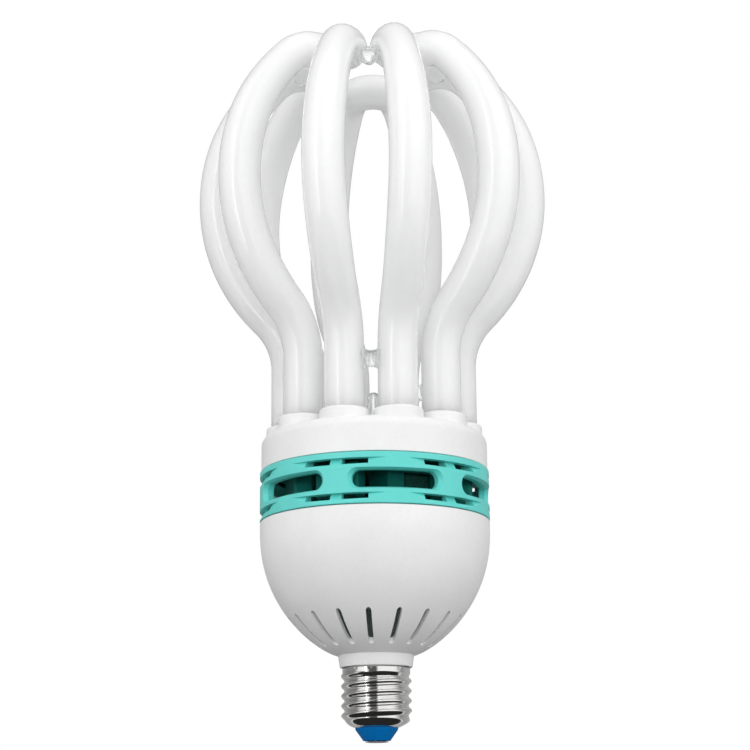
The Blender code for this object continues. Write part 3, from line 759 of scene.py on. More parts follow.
FINISHES = (
    Finish("white_housing", Texture.GRAINED, (0.82, 0.82, 0.82), (0.77, 0.77, 0.77), 0.42,
           bump=0.12, bump_depth=0.00006),
    Finish("teal_ring", Texture.GRAINED, (0.105, 0.62, 0.565), (0.125, 0.66, 0.61), 0.40,
           bump=0.18, bump_depth=0.00008, cloud_scale=120.0),
    Finish("coated_glass", Texture.GRAINED, (0.915, 0.92, 0.92), (0.89, 0.895, 0.895), 0.35,
           coat=1.0, scatter=0.04, bump=0.05, cloud_scale=45.0, grain_scale=1200.0,
           wave_share=2.0),
    Finish("clear_bead", Texture.GRAINED, (0.97, 0.98, 0.98), (0.90, 0.92, 0.92), 0.06,
           transmission=1.0, ior=1.41, bump=0.25, bump_depth=0.0004, cloud_scale=300.0,
           wave_share=2.0),
    Finish("plated_shell", Texture.PLATED, (0.95, 0.945, 0.935), (0.68, 0.67, 0.66), 0.08,
           metallic=1.0, bump=0.03, bump_depth=0.00005),
    Finish("blue_insulator", Texture.GRAINED, (0.0, 0.125, 0.375), (0.0, 0.14, 0.425), 0.55,
           ior=1.15, cloud_scale=200.0),
    Finish("contact_metal", Texture.PLATED, (0.72, 0.72, 0.76), (0.50, 0.50, 0.56), 0.4,
           metallic=0.5, bump=0.3, bump_depth=0.0002),
    # The board and the parts below sit inside the teal ring. Their colours are darkened and tinted
    # teal: painted shade and painted teal light from the ring, laid over each part's own colour.
    Finish("board_laminate", Texture.WOVEN, (0.02, 0.16, 0.12), (0.01, 0.10, 0.08), 0.55,
           bump=0.2, cloud_scale=150.0),
    Finish("capacitor_sleeve", Texture.GRAINED, (0.001, 0.17, 0.14), (0.001, 0.11, 0.09), 0.40,
           ior=1.2, cloud_scale=200.0),
    Finish("film_case", Texture.GRAINED, (0.010, 0.18, 0.15), (0.006, 0.13, 0.11), 0.45,
           ior=1.2, cloud_scale=200.0),
    Finish("ferrite", Texture.GRAINED, (0.002, 0.09, 0.07), (0.004, 0.12, 0.10), 0.65,
           ior=1.2, bump=0.5, bump_depth=0.0002, grain_scale=1800.0),
    Finish("winding_copper", Texture.WOUND, (0.03, 0.16, 0.13), (0.01, 0.07, 0.055), 0.45,
           metallic=0.4, bump=0.8, bump_depth=0.0003),
    Finish("moulded_black", Texture.GRAINED, (0.002, 0.07, 0.055), (0.004, 0.09, 0.075), 0.5,
           ior=1.2, cloud_scale=300.0),
    Finish("resistor_body", Texture.GRAINED, (0.15, 0.40, 0.30), (0.10, 0.30, 0.22), 0.5,
           cloud_scale=400.0),
    Finish("disc_lacquer", Texture.GRAINED, (0.05, 0.15, 0.45), (0.03, 0.10, 0.32), 0.25,
           cloud_scale=400.0),
    Finish("tinned_wire", Texture.PLATED, (0.70, 0.70, 0.68), (0.45, 0.44, 0.42), 0.30,
           metallic=1.0),
)


class Paints:
    """Materials by slot, built once."""

    def __init__(self) -> None:
        """Build every finish."""
        self.by_slot = {finish.slot: finish.build() for finish in FINISHES}

    def dress(self, item: Item, slot: str) -> None:
        """Give a piece the material of a slot."""
        item.data.materials.clear()
        item.data.materials.append(self.by_slot[slot])


# Sub-assemblies


@dataclass
class SubAssembly:
    """Base of every sub-assembly: hands a finished piece over to the frame."""

    paints: Paints

    def deliver(self, item: Item, slot: str, *nodes: str, crease: float = CREASE) -> None:
        """Dress a piece, let it ride on the lamp and let it stand for solids.

        Args:
            item: The finished piece.
            slot: Material slot of the record.
            nodes: Names of the solids that the piece stands for.
            crease: Angle above which an edge stays sharp, in radians.
        """
        Bench.smooth(item, crease)
        self.paints.dress(item, slot)
        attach(item, "root")
        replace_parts(item, *nodes)
        LOG.info("%s: %d faces", item.name, len(item.data.polygons))


@dataclass
class ScrewCap(SubAssembly):
    """Threaded shell, insulator and centre contact."""

    pitch: float = 0.00355
    major_radius: float = 0.0129
    minor_radius: float = 0.0117
    crest_height: float = 0.01046
    thread_low: float = 0.0074
    thread_high: float = 0.02475
    runout_low: float = 0.0010
    runout_high: float = 0.0005
    slope_end: float = 0.0232
    wall: float = 0.00035
    bottom: float = 0.0053
    foot_top: float = 0.0084
    foot_inner: float = 0.0075
    foot_fullness: float = 1.6
    mouth_radius: float = 0.0081
    rim_radius: float = 0.0124
    rim_height: float = 0.0017
    seam: float = 0.0005
    row_height: float = 0.00026
    steps: int = 144
    crimp_angles: tuple[float, ...] = (-37.0, -10.5, 15.5, 42.0, 72.0, 108.0, 144.0, 180.0,
                                       216.0, 252.0, 288.0)
    crimp_place: float = 0.2
    crimp_squash: float = 1.2
    crimp_falloff: float = 4.0
    crimp_depth: float = 0.00016
    crimp_width: float = 0.0008
    foot_radius: float = 0.0049
    edge_height: float = 0.0046
    edge_round: float = 0.0004
    contact_radius: float = 0.0043
    contact_flat: float = 0.0033
    contact_edge: float = 0.00045
    contact_stem: float = 0.0085

    def rise(self, angle: float, height: float) -> float:
        """Return the share of the thread's depth at an angle from +X and a height.

        Args:
            angle: Angle in radians.
            height: Height in metres.

        Returns:
            The share, from 0 at the root to 1 at the crest.
        """
        turns = (height - self.crest_height) / self.pitch - (angle + math.pi / 2) / math.tau
        wave = 0.5 + 0.5 * math.cos(math.tau * turns)
        crest = height - self.pitch * (turns - round(turns))
        low = ease((crest - self.thread_low) / self.runout_low)
        high = ease((self.thread_high - crest) / self.runout_high)
        return wave * low * high

    def dent(self, angle: float, height: float) -> float:
        """Return how deep the crimps press in at an angle from +X and a height.

        Args:
            angle: Angle in radians.
            height: Height in metres.

        Returns:
            The depth in metres.
        """
        middle = PLAN.neck_bottom - self.seam - self.rim_height * self.crimp_place
        deepest = 0.0
        for crimp in self.crimp_angles:
            turn = angle - math.radians(crimp - 90.0)
            turn = (turn + math.pi) % math.tau - math.pi
            along = turn * self.rim_radius
            distance = math.hypot(along, (height - middle) * self.crimp_squash) / self.crimp_width
            share = math.exp(-self.crimp_falloff * distance * distance)
            deepest = max(deepest, self.crimp_depth * share)
        return deepest

    def foot(self) -> Outline:
        """Return the curve from the thread's root down and in to the shell's mouth.

        Returns:
            Points as radius and height.
        """
        wide = self.minor_radius - self.foot_inner
        tall = self.foot_top - self.bottom
        power = 2.0 / self.foot_fullness
        points = []
        for index in range(25):
            turn = math.pi / 2 * index / 24
            radius = self.foot_inner + wide * math.cos(turn) ** power
            if radius > self.mouth_radius:
                points.append((radius, self.foot_top - tall * math.sin(turn) ** power))
        return points + [(self.mouth_radius, self.bottom)]

    def shell(self) -> None:
        """Turn the shell, wind its thread, press its crimps and give it its wall."""
        top = PLAN.neck_bottom - self.seam
        rim_low = top - self.rim_height
        outline = [(self.rim_radius, top - self.rim_height * index / 6) for index in range(7)]
        for index in range(1, 6):
            share = index / 5
            outline.append((self.rim_radius + (self.minor_radius - self.rim_radius) * share,
                            rim_low + (self.slope_end - rim_low) * share))
        rows = math.ceil((self.slope_end - self.foot_top) / self.row_height)
        step = (self.slope_end - self.foot_top) / rows
        outline += [(self.minor_radius, self.slope_end - step * i) for i in range(1, rows)]
        outline += self.foot()
        item = Bench.turned("thread_shell", outline, self.steps, closed=False)
        for vertex in item.data.vertices:
            radius = math.hypot(vertex.co.x, vertex.co.y)
            angle = math.atan2(vertex.co.y, vertex.co.x)
            grown = radius
            if vertex.co.z < rim_low - WELD:
                grown += (self.major_radius - radius) * self.rise(angle, vertex.co.z)
            else:
                grown -= self.dent(angle, vertex.co.z)
            vertex.co.x *= grown / radius
            vertex.co.y *= grown / radius
        Bench.modify(item, "SOLIDIFY", thickness=self.wall, offset=-1.0)
        self.deliver(item, "plated_shell", "screw_shell")

    def insulator(self) -> None:
        """Turn the insulator with softened edges."""
        waist = self.mouth_radius - PLAN.gap
        inner_top = self.bottom + 2 * self.wall + PLAN.gap
        flange = self.minor_radius - self.wall - 4 * PLAN.gap
        soft = self.edge_round
        lean = (waist - self.foot_radius) / (self.edge_height - PLAN.insulator_bottom)
        outline = [
            (flange, PLAN.insulator_top),
            (flange, (PLAN.insulator_top + inner_top) / 2),
            (waist, inner_top),
            (waist, self.edge_height + soft),
            (waist - soft * 0.12, self.edge_height + soft * 0.25),
            (waist - soft * lean * 0.5, self.edge_height - soft * 0.5),
            (self.foot_radius + soft * lean, PLAN.insulator_bottom + soft),
            (self.foot_radius + soft * 0.3, PLAN.insulator_bottom + soft * 0.2),
            (self.foot_radius - soft, PLAN.insulator_bottom),
            (PLAN.hole_radius, PLAN.insulator_bottom),
            (PLAN.hole_radius, PLAN.insulator_top),
        ]
        item = Bench.turned("glazed_insulator", outline, 96)
        self.deliver(item, "blue_insulator", "cap_insulator")

    def contact(self) -> None:
        """Turn the centre contact with a domed, slightly dished face."""
        top = PLAN.insulator_bottom - PLAN.gap
        stem = PLAN.hole_radius - PLAN.gap
        soft = self.contact_edge
        outline = [
            (0.0, self.contact_stem),
            (stem, self.contact_stem),
            (stem, top),
            (self.contact_radius - soft * 0.4, top),
            (self.contact_radius, top - soft * 0.3),
            (self.contact_radius - soft * 0.3, soft * 0.55),
            (self.contact_flat + soft, soft * 0.15),
            (self.contact_flat, 0.0),
            (self.contact_flat * 0.55, 0.0),
            (self.contact_flat * 0.4, soft * 0.35),
            (0.0, soft * 0.35),
        ]
        item = Bench.turned("domed_contact", outline, 72, closed=False)
        self.deliver(item, "contact_metal", "centre_contact")

    def build(self) -> None:
        """Build the whole cap."""
        self.shell()
        self.insulator()
        self.contact()


@dataclass
class LowerHousing(SubAssembly):
    """Bowl with its neck, spigot and slots."""

    neck_bottom_radius: float = 0.0133
    neck_top_radius: float = 0.01395
    spigot_bottom: float = 0.0120
    spigot_radius: float = 0.0109
    spigot_wall: float = 0.0013
    wall: float = 0.0018
    straight_height: float = 0.0032
    fullness: float = 2.15
    roundness: float = 0.74
    row_power: float = 1.6
    rows: int = 44
    steps: int = 180
    edge_round: float = 0.00025
    slot_count: int = 18
    slot_width: float = 0.0020
    slot_inner: float = 0.01975
    slot_outer: float = 0.0323
    slot_first_angle: float = -4.6

    def curve(self, share: float, inset: float = 0.0) -> tuple[float, float]:
        """Return a point of the bowl's curve, or of the curve a distance inside it.

        Args:
            share: Share of the height from the neck to the straight rim.
            inset: Distance inwards from the outer curve.

        Returns:
            Radius and height.
        """
        rise = PLAN.bowl_rim - self.straight_height - PLAN.neck_top

        def outer(value: float) -> Vector:
            """Return a point of the outer curve."""
            full = 1.0 - (1.0 - value) ** self.fullness
            reach = (PLAN.bowl_radius - self.neck_top_radius) * full ** self.roundness
            return Vector((self.neck_top_radius + reach, PLAN.neck_top + rise * value))

        here = outer(share)
        if inset:
            along = (outer(min(share + 0.01, 1.0)) - outer(max(share - 0.01, 0.0))).normalized()
            here += inset * Vector((-along.y, along.x))
        return here.x, here.y

    def outline(self) -> Outline:
        """Return the section of the housing.

        Returns:
            Points as radius and height, all the way round.
        """
        shares = [((index + 1) / self.rows) ** self.row_power for index in range(self.rows)]
        inner_radius = self.spigot_radius - self.spigot_wall
        soft = self.edge_round
        points = [(PLAN.bowl_radius - soft, PLAN.bowl_rim), (PLAN.bowl_radius, PLAN.bowl_rim - soft)]
        points += [self.curve(share) for share in reversed(shares)]
        points += [self.curve(0.0002), (self.neck_top_radius, PLAN.neck_top)]
        points += [
            (self.neck_bottom_radius + soft * 0.3, PLAN.neck_bottom + soft * 1.4),
            (self.neck_bottom_radius, PLAN.neck_bottom + soft * 0.6),
            (self.neck_bottom_radius - soft * 0.6, PLAN.neck_bottom),
            (self.spigot_radius, PLAN.neck_bottom),
            (self.spigot_radius, self.spigot_bottom),
            (inner_radius, self.spigot_bottom),
            (inner_radius, PLAN.neck_top + self.wall),
        ]
        inner = [self.curve(share, self.wall) for share in shares[1:]]
        points += [point for point in inner if point[0] > inner_radius + self.wall]
        points.append((PLAN.bowl_radius - self.wall, PLAN.bowl_rim))
        return points

    def build(self) -> None:
        """Turn the housing and cut its slots."""
        item = Bench.turned("slotted_bowl", self.outline(), self.steps)
        slot = Bench.obround("slot", self.slot_outer - self.slot_inner, self.slot_width, 8, 1)
        middle = (self.slot_outer + self.slot_inner) / 2
        Bench.settle(slot, Matrix.Translation((middle, 0.0, PLAN.neck_bottom)) @ Matrix.Rotation(
            math.pi / 2, 4, "Z") @ Matrix.Rotation(math.pi / 2, 4, "Y"))
        Bench.push(slot, Vector((0.0, 0.0, PLAN.bowl_rim - self.straight_height - PLAN.neck_bottom)))
        Bench.tidy(slot)
        pitch = 360.0 / self.slot_count
        turns = [facing(self.slot_first_angle + pitch * i) for i in range(self.slot_count)]
        Bench.combine(item, slot, turns)
        self.deliver(item, "white_housing", "lower_housing")


@dataclass
class VentRing(SubAssembly):
    """Ring with chamfered windows and pairs of vents that stand in shallow dishes."""

    lip_height: float = 0.0024
    lip_outer: float = 0.0405
    lip_wall: float = 0.0013
    ledge_depth: float = 0.0017
    ledge_thickness: float = 0.0008
    edge_round: float = 0.0003
    steps: int = 240
    window_count: int = 6
    window_first_angle: float = 11.0
    window_arc: float = 44.6
    window_height: float = 0.0063
    window_middle: float = 0.00905
    chamfer_end: float = 0.0013
    chamfer_side: float = 0.0006
    chamfer_depth: float = 0.0016
    vent_arc: float = 13.2
    vent_spacing: float = 19.2
    vent_flare: float = 1.8
    vent_height: float = 0.0020
    pair_angle: float = -19.1
    vent_rows: tuple[float, float] = (0.0027, 0.0152)
    dish_arc: float = 49.0
    dish_top: float = 0.0012
    dish_height: float = 0.0034
    dish_depth: float = 0.0019
    dish_margin: float = 0.0005
    dish_lean: float = 0.0002
    crease: float = math.radians(12.0)

    def body(self) -> Item:
        """Turn the ring with its lips and its ledge.

        Returns:
            The ring, not yet cut.
        """
        low = PLAN.ring_bottom
        high = PLAN.ring_top
        radius = PLAN.ring_radius
        soft = self.edge_round
        inner = self.lip_outer - self.lip_wall
        ledge_top = high - self.ledge_depth
        ledge_low = ledge_top - self.ledge_thickness
        outline = [(self.lip_outer, high + self.lip_height), (self.lip_outer, high)]
        outline += arc((radius - soft, high - soft), soft, 90.0, 0.0, 8)
        outline += arc((radius - soft, low + soft), soft, 0.0, -90.0, 8)
        outline += [
            (self.lip_outer, low),
            (self.lip_outer, low - self.lip_height),
            (inner, low - self.lip_height),
            (inner, ledge_low - self.ledge_depth),
            (inner - self.ledge_depth, ledge_low),
            (inner - self.ledge_depth, ledge_top),
            (inner, ledge_top),
            (inner, high + self.lip_height),
        ]
        return Bench.turned("chamfered_ring", outline, self.steps)

    def window(self, length: float) -> Item:
        """Make a cutter for a window, widened towards the outside.

        Args:
            length: Length of the window along the ring's outer face.

        Returns:
            The cutter, rolled round the axis and centred on +X.
        """
        height = self.window_height
        near = self.lip_outer - self.lip_wall - PLAN.gap
        item = Bench.obround("window", length, height, 10, 24)
        Bench.settle(item, Matrix.Translation((near, 0.0, 0.0)))
        Bench.push(item, Vector((PLAN.ring_radius - self.chamfer_depth - near, 0.0, 0.0)))
        for _ in range(2):
            grow = (1.0, 1.0 + 2 * self.chamfer_end / length, 1.0 + 2 * self.chamfer_side / height)
            Bench.push(item, Vector((self.chamfer_depth, 0.0, 0.0)), grow)
        return Bench.tidy(Bench.roll_up(item, PLAN.ring_radius))

    def dish(self) -> Item:
        """Make a cutter for a shallow dish under a slanted ledge, pointed at both ends.

        Returns:
            The cutter, rolled round the axis and centred on +X.
        """
        half = math.radians(self.dish_arc) / 2 * PLAN.ring_radius
        item = Bench.start("dish", bpy.ops.mesh.primitive_grid_add, x_subdivisions=32,
                           y_subdivisions=3, size=2.0)
        for vertex in item.data.vertices:
            full = max(1.0 - vertex.co.x ** 2, 0.0)
            row = round((vertex.co.y + 1.0) * 1.5)
            depth = self.dish_depth * full
            margin = self.dish_margin * full
            slope = self.dish_height / self.dish_depth
            lean = self.dish_lean * full
            points = (
                (PLAN.ring_radius + margin, self.dish_top),
                (PLAN.ring_radius - depth, self.dish_top - lean),
                (PLAN.ring_radius + margin, self.dish_top - lean - (depth + margin) * slope),
            )
            reach, height = points[row % 3]
            vertex.co = (reach, vertex.co.x * half, height)
        return Bench.tidy(Bench.roll_up(item, PLAN.ring_radius))

    def build(self) -> None:
        """Cut the windows, dishes and vents into the ring."""
        item = self.body()
        spacing = 360.0 / self.window_count

        def places(height: float, first: float) -> list[Matrix]:
            """Return the place of each copy of a cutter round the ring."""
            level = Matrix.Translation((0.0, 0.0, PLAN.ring_bottom + height))
            return [level @ facing(first + spacing * i) for i in range(self.window_count)]

        length = math.radians(self.window_arc) * PLAN.ring_radius
        spots = places(self.window_middle, self.window_first_angle)
        Bench.combine(item, self.window(length), spots)
        spots = [place for row in self.vent_rows for place in places(row, self.pair_angle)]
        Bench.combine(item, self.dish(), spots)
        near = self.lip_outer - self.lip_wall - self.ledge_depth - PLAN.gap
        middle = PLAN.ring_radius - self.dish_depth - PLAN.gap * 2
        far = PLAN.ring_radius + self.dish_depth
        half = math.radians(self.vent_arc) / 2 * PLAN.ring_radius
        tall = self.vent_height / 2 * self.vent_flare
        columns = [(half * (index / 4 - 1.0), tall) for index in range(9)]
        vent = Bench.settle(Bench.strip("vent", columns), Matrix.Translation((near, 0.0, 0.0)))
        Bench.push(vent, Vector((middle - near, 0.0, 0.0)))
        Bench.push(vent, Vector((PLAN.gap, 0.0, 0.0)), (1.0, 1.0, 1.0 / self.vent_flare))
        Bench.push(vent, Vector((far - middle - PLAN.gap, 0.0, 0.0)))
        Bench.tidy(Bench.roll_up(vent, PLAN.ring_radius))
        sides = (-self.vent_spacing / 2, self.vent_spacing / 2)
        spots = [place for row in self.vent_rows for side in sides
                 for place in places(row, self.pair_angle + side)]
        Bench.combine(item, vent, spots)
        self.deliver(item, "teal_ring", "vent_ring", crease=self.crease)


@dataclass
class UpperCover(SubAssembly):
    """Cover with a rounded shoulder and a collar round each leg of the glass."""

    wall: float = 0.0016
    shoulder: float = 0.0040
    collar_wall: float = 0.0018
    collar_height: float = 0.0040
    collar_round: float = 0.0012
    steps: int = 180
    edge_round: float = 0.0002
    stem_radius: float = 0.0030
    stem_height: float = 0.0175

    def body(self) -> Item:
        """Turn the cover.

        Returns:
            The cover, without its collars.
        """
        radius = PLAN.cover_radius
        top = PLAN.cover_top
        centre = (radius - self.shoulder, top - self.shoulder)
        outline = [(0.0, top), (centre[0] * 0.5, top)]
        outline += arc(centre, self.shoulder, 90.0, 0.0, 12)
        outline += [(radius, PLAN.cover_bottom + self.edge_round),
                    (radius - self.edge_round, PLAN.cover_bottom),
                    (radius - self.wall, PLAN.cover_bottom)]
        outline += arc(centre, self.shoulder - self.wall, 0.0, 90.0, 6)
        outline.append((0.0, top - self.wall))
        return Bench.turned("collared_cover", outline, self.steps, closed=False)

    def collar(self) -> Item:
        """Turn one collar, solid, with a rounded crown.

        Returns:
            The collar, on the axis.
        """
        radius = PLAN.tube_radius + self.collar_wall
        low = PLAN.cover_top - self.wall - self.shoulder
        top = PLAN.cover_top + self.collar_height
        soft = self.collar_round
        outline = [(0.0, low), (radius, low), (radius, top - soft)]
        outline += arc((radius - soft, top - soft), soft, 0.0, 90.0, 6)[1:]
        outline.append((0.0, top))
        return Bench.turned("collar", outline, 64, closed=False)

    def build(self) -> None:
        """Join the collars to the cover and bore the sockets."""
        item = self.body()
        low = PLAN.cover_top - self.wall - self.shoulder
        places = [Matrix.Translation(spot(PLAN.base_circle, angle, 0.0))
                  for angle in PLAN.leg_angles()]
        Bench.combine(item, self.collar(), places, "UNION")
        depth = self.collar_height + self.wall + self.shoulder + 4 * self.wall
        bore = Bench.start("bore", bpy.ops.mesh.primitive_cylinder_add, vertices=64,
                           radius=PLAN.tube_radius + PLAN.gap, depth=depth,
                           location=(0.0, 0.0, low - 2 * self.wall + depth / 2))
        Bench.combine(item, Bench.settle(bore), places)
        self.deliver(item, "white_housing", "upper_cover")
        self.stem()

    def stem(self) -> None:
        """Turn the sealed stem in the middle of the cover, drawn in below its tip."""
        foot = PLAN.cover_top + PLAN.gap
        tip = PLAN.cover_top + self.stem_height
        radius = self.stem_radius
        outline = arc((0.0, tip - radius * 0.8), radius * 0.8, 90.0, 10.0, 8)
        outline[0] = (0.0, tip)
        outline += [(radius * 0.72, tip - radius * 1.2), (radius * 0.8, tip - radius * 1.7),
                    (radius, tip - radius * 2.4), (radius, foot), (0.0, foot)]
        item = Bench.turned("sealed_stem", outline, 40, closed=False)
        self.deliver(item, "clear_bead", "glass_stem")


@dataclass
class Glass(SubAssembly):
    """Five bent tubes, the bridges between them and the beads at their tips."""

    bulge_half_angle: float = 19.5
    twists: tuple[float, ...] = (-1.1, 0.0, 0.0, 0.0, 1.1)
    twist_height: float = 0.035
    lifts: tuple[float, ...] = (0.0030, 0.0, 0.0, 0.0, -0.0040)
    lift_reach: float = 0.070
    lift_core: float = 0.006
    lift_start: float = 0.205
    lift_height: float = 0.030
    bulge_swell: float = 0.075
    tip_swell: float = -0.04
    flare_radius: float = 0.0294
    flare_angle: float = 44.2
    dome_radius: float = 0.0686
    dome_angle: float = 46.0
    shoulder_radius: float = 0.0158
    shoulder_angle: float = 90.0
    round_steps: int = 9
    bridge_height: float = 0.1360
    bridge_radius: float = 0.0031
    bridge_flare: float = 0.0016
    bridge_flare_power: float = 2.6
    bridge_reach: float = 0.86
    bead_drop: float = 0.0052
    bead_shift: float = 0.0045
    bead_radius: float = 0.0036
    bead_unevenness: float = 0.25

    def leg(self) -> Outline:
        """Return one leg's centre line, as radius and height, from its foot up.

        Returns:
            Points as radius and height.
        """
        points = [(PLAN.base_circle, PLAN.leg_bottom), (PLAN.base_circle, PLAN.cover_top)]
        points += arc((PLAN.base_circle + self.flare_radius, PLAN.straight_top),
                      self.flare_radius, 180.0, 180.0 - self.flare_angle, 14)
        for radius, start, end, steps in (
                (self.dome_radius, -self.flare_angle, self.dome_angle, 40),
                (self.shoulder_radius, self.dome_angle, self.shoulder_angle, 8)):
            lean = math.radians(start)
            centre = (points[-1][0] - radius * math.cos(lean),
                      points[-1][1] - radius * math.sin(lean))
            points += arc(centre, radius, start, end, steps)[1:]
        return points

    def line(self) -> list[Vector]:
        """Return the centre line of a petal whose middle plane is the XZ plane, on +X.

        Returns:
            Points from the foot of one leg to the foot of the other.
        """
        leg = self.leg()
        widest = max(radius for radius, height in leg)
        right = []
        for radius, height in leg:
            share = ease((radius - PLAN.base_circle) / (widest - PLAN.base_circle))
            spread = self.bulge_half_angle - PLAN.leg_half_angle
            half = math.radians(PLAN.leg_half_angle + spread * share)
            right.append(Vector((radius * math.cos(half), radius * math.sin(half), height)))
        left = [Vector((point.x, -point.y, point.z)) for point in right]
        along = (right[-1] - right[-2]).normalized()
        across = (left[-1] - right[-1]).normalized()
        opening = math.acos(along.dot(across))
        bend = (left[-1] - right[-1]).length / 2 / math.sin(opening)
        inward = (across - along * along.dot(across)).normalized()
        centre = right[-1] + inward * bend
        count = 24
        middle = []
        for index in range(1, count):
            turn = 2 * opening * index / count
            middle.append(centre - inward * bend * math.cos(turn) + along * bend * math.sin(turn))
        return right + middle + left[::-1]

    def swell(self, line: list[Vector]) -> list[float]:
        """Return the share of the tube's radius at each point of its centre line.

        Args:
            line: The centre line.

        Returns:
            A share for each point.
        """
        reaches = [math.hypot(point.x, point.y) for point in line]
        widest = max(reaches)
        turning = line[reaches.index(widest)].z
        top = max(point.z for point in line)
        shares = []
        for point, reach in zip(line, reaches):
            if point.z < turning:
                grown = ease((reach - PLAN.base_circle) / (widest - PLAN.base_circle))
                shares.append(1.0 + self.bulge_swell * grown)
            else:
                risen = ease((point.z - turning) / (top - turning)) ** 2
                shares.append(1.0 + self.bulge_swell + (self.tip_swell - self.bulge_swell) * risen)
        return shares

    def twist(self, item: Item, angle: float) -> None:
        """Turn a petal round the axis above its straight legs, as bending by hand leaves it."""
        for vertex in item.data.vertices:
            share = ease((vertex.co.z - PLAN.straight_top) / self.twist_height)
            vertex.co = Matrix.Rotation(math.radians(angle) * share, 3, "Z") @ vertex.co

    def lift(self, item: Item, angle: float, amount: float) -> None:
        """Raise the upper part of one leg, the one further round where the amount is above 0.

        Args:
            item: The petal.
            angle: Angle of its middle in degrees.
            amount: Height by which the leg rises at most.
        """
        side = math.copysign(1.0, amount) * (facing(angle) @ Vector((0.0, 1.0, 0.0)))
        for vertex in item.data.vertices:
            reach = vertex.co.to_2d().length
            share = ease(0.5 + side.dot(vertex.co) / PLAN.tube_radius / 2)
            share *= ease((self.lift_reach - reach) / (self.lift_reach - self.lift_core))
            share *= ease((vertex.co.z - self.lift_start) / self.lift_height)
            vertex.co.z += abs(amount) * share

    def petals(self) -> None:
        """Sweep one tube, a little wider at its bulge, and copy it round the axis."""
        line = self.line()
        first = Bench.rod("bent_tube", line, PLAN.tube_radius, self.round_steps,
                          self.swell(line))
        for index, angle in enumerate(PLAN.petal_angles(), start=1):
            item = Bench.name(Bench.copy(first, facing(angle)), f"bent_tube_{index}")
            self.twist(item, self.twists[index - 1])
            self.lift(item, angle, self.lifts[index - 1])
            self.deliver(item, "coated_glass", f"glass_petal_{index}")
        bpy.data.objects.remove(first, do_unlink=True)

    def bridges(self) -> None:
        """Turn a waisted bridge, lay it down and copy it between the petals."""
        half = math.radians(PLAN.petal_pitch / 2 - PLAN.leg_half_angle)
        half_gap = PLAN.base_circle * math.sin(half)
        reach = PLAN.base_circle * math.cos(half)
        waist = half_gap - PLAN.tube_radius * self.bridge_reach
        outline = [(0.0, -waist)]
        count = 20
        for index in range(count + 1):
            along = 2 * index / count - 1.0
            flare = self.bridge_flare * abs(along) ** self.bridge_flare_power
            outline.append((self.bridge_radius + flare, waist * along))
        outline.append((0.0, waist))
        first = Bench.turned("waisted_bridge", outline, 48, closed=False)
        Bench.settle(first, Matrix.Translation((reach, 0.0, self.bridge_height)) @ Matrix.Rotation(
            math.pi / 2, 4, "X"))
        for index in range(PLAN.petal_count - 1):
            angle = PLAN.petal_first_angle + PLAN.petal_pitch * (index + 1.5)
            item = Bench.name(Bench.copy(first, facing(angle)), f"waisted_bridge_{index + 1}")
            self.deliver(item, "clear_bead", f"glass_bridge_{index + 1}")
        bpy.data.objects.remove(first, do_unlink=True)

    def beads(self) -> None:
        """Shape a clear bead between the tips of each two neighbouring tubes."""
        half = math.radians(PLAN.petal_pitch / 2)
        normal = Vector((-math.sin(half), math.cos(half), 0.0))
        upper = [point for point in self.line() if point.z > PLAN.straight_top + self.dome_radius]
        nearest = max(upper, key=normal.dot)
        seat = nearest - normal * normal.dot(nearest) - Vector((0.0, 0.0, self.bead_drop))
        seat += seat.to_2d().normalized().to_3d() * self.bead_shift
        for index, angle in enumerate(PLAN.petal_angles()):
            item = Bench.start(f"clear_drop_{index + 1}", bpy.ops.mesh.primitive_ico_sphere_add,
                               subdivisions=4, radius=self.bead_radius,
                               location=facing(angle) @ seat)
            Bench.edit(item)
            bpy.ops.transform.vertex_random(offset=self.bead_radius * self.bead_unevenness,
                                            seed=index + 3)
            bpy.ops.mesh.vertices_smooth(factor=0.5, repeat=4)
            bpy.ops.object.mode_set(mode="OBJECT")
            Bench.settle(item)
            self.deliver(item, "clear_bead", f"tip_bead_{index + 1}")

    def build(self) -> None:
        """Build all the glass."""
        self.petals()
        self.bridges()
        self.beads()


@dataclass
class InnerParts(SubAssembly):
    """Board, components and wires. Most keep their solids and take a finish each."""

    case_low: Triple = (0.0247, -0.0092, 0.0848)
    case_high: Triple = (0.0362, 0.0052, 0.0978)
    case_round: float = 0.0014

    def capacitor(self) -> None:
        """Shape the dipped case of the capacitor that shows in the window on the right."""
        low, high = Vector(self.case_low), Vector(self.case_high)
        item = Bench.settle(Bench.start("dipped_case", bpy.ops.mesh.primitive_cube_add, size=1.0,
                                        location=(low + high) / 2, scale=high - low))
        Bench.modify(item, "BEVEL", width=self.case_round, segments=4)
        self.deliver(Bench.tidy(item), "film_case", "film_capacitor_3")

    def build(self, replaced: set[str]) -> None:
        """Dress every solid that no finer piece stands for.

        Args:
            replaced: Names of the solids that a finer piece stands for.
        """
        for entry in frame["record"]["subparts"]:
            if entry["node"] in replaced:
                continue
            # The dark teal finishes that these solids take hold painted shade and painted teal light
            # from the ring, over each part's own colour.
            self.paints.dress(bpy.data.objects[entry["node"]], entry["material_slot"])
            LOG.info("%s: solid dressed", entry["node"])


# Studio


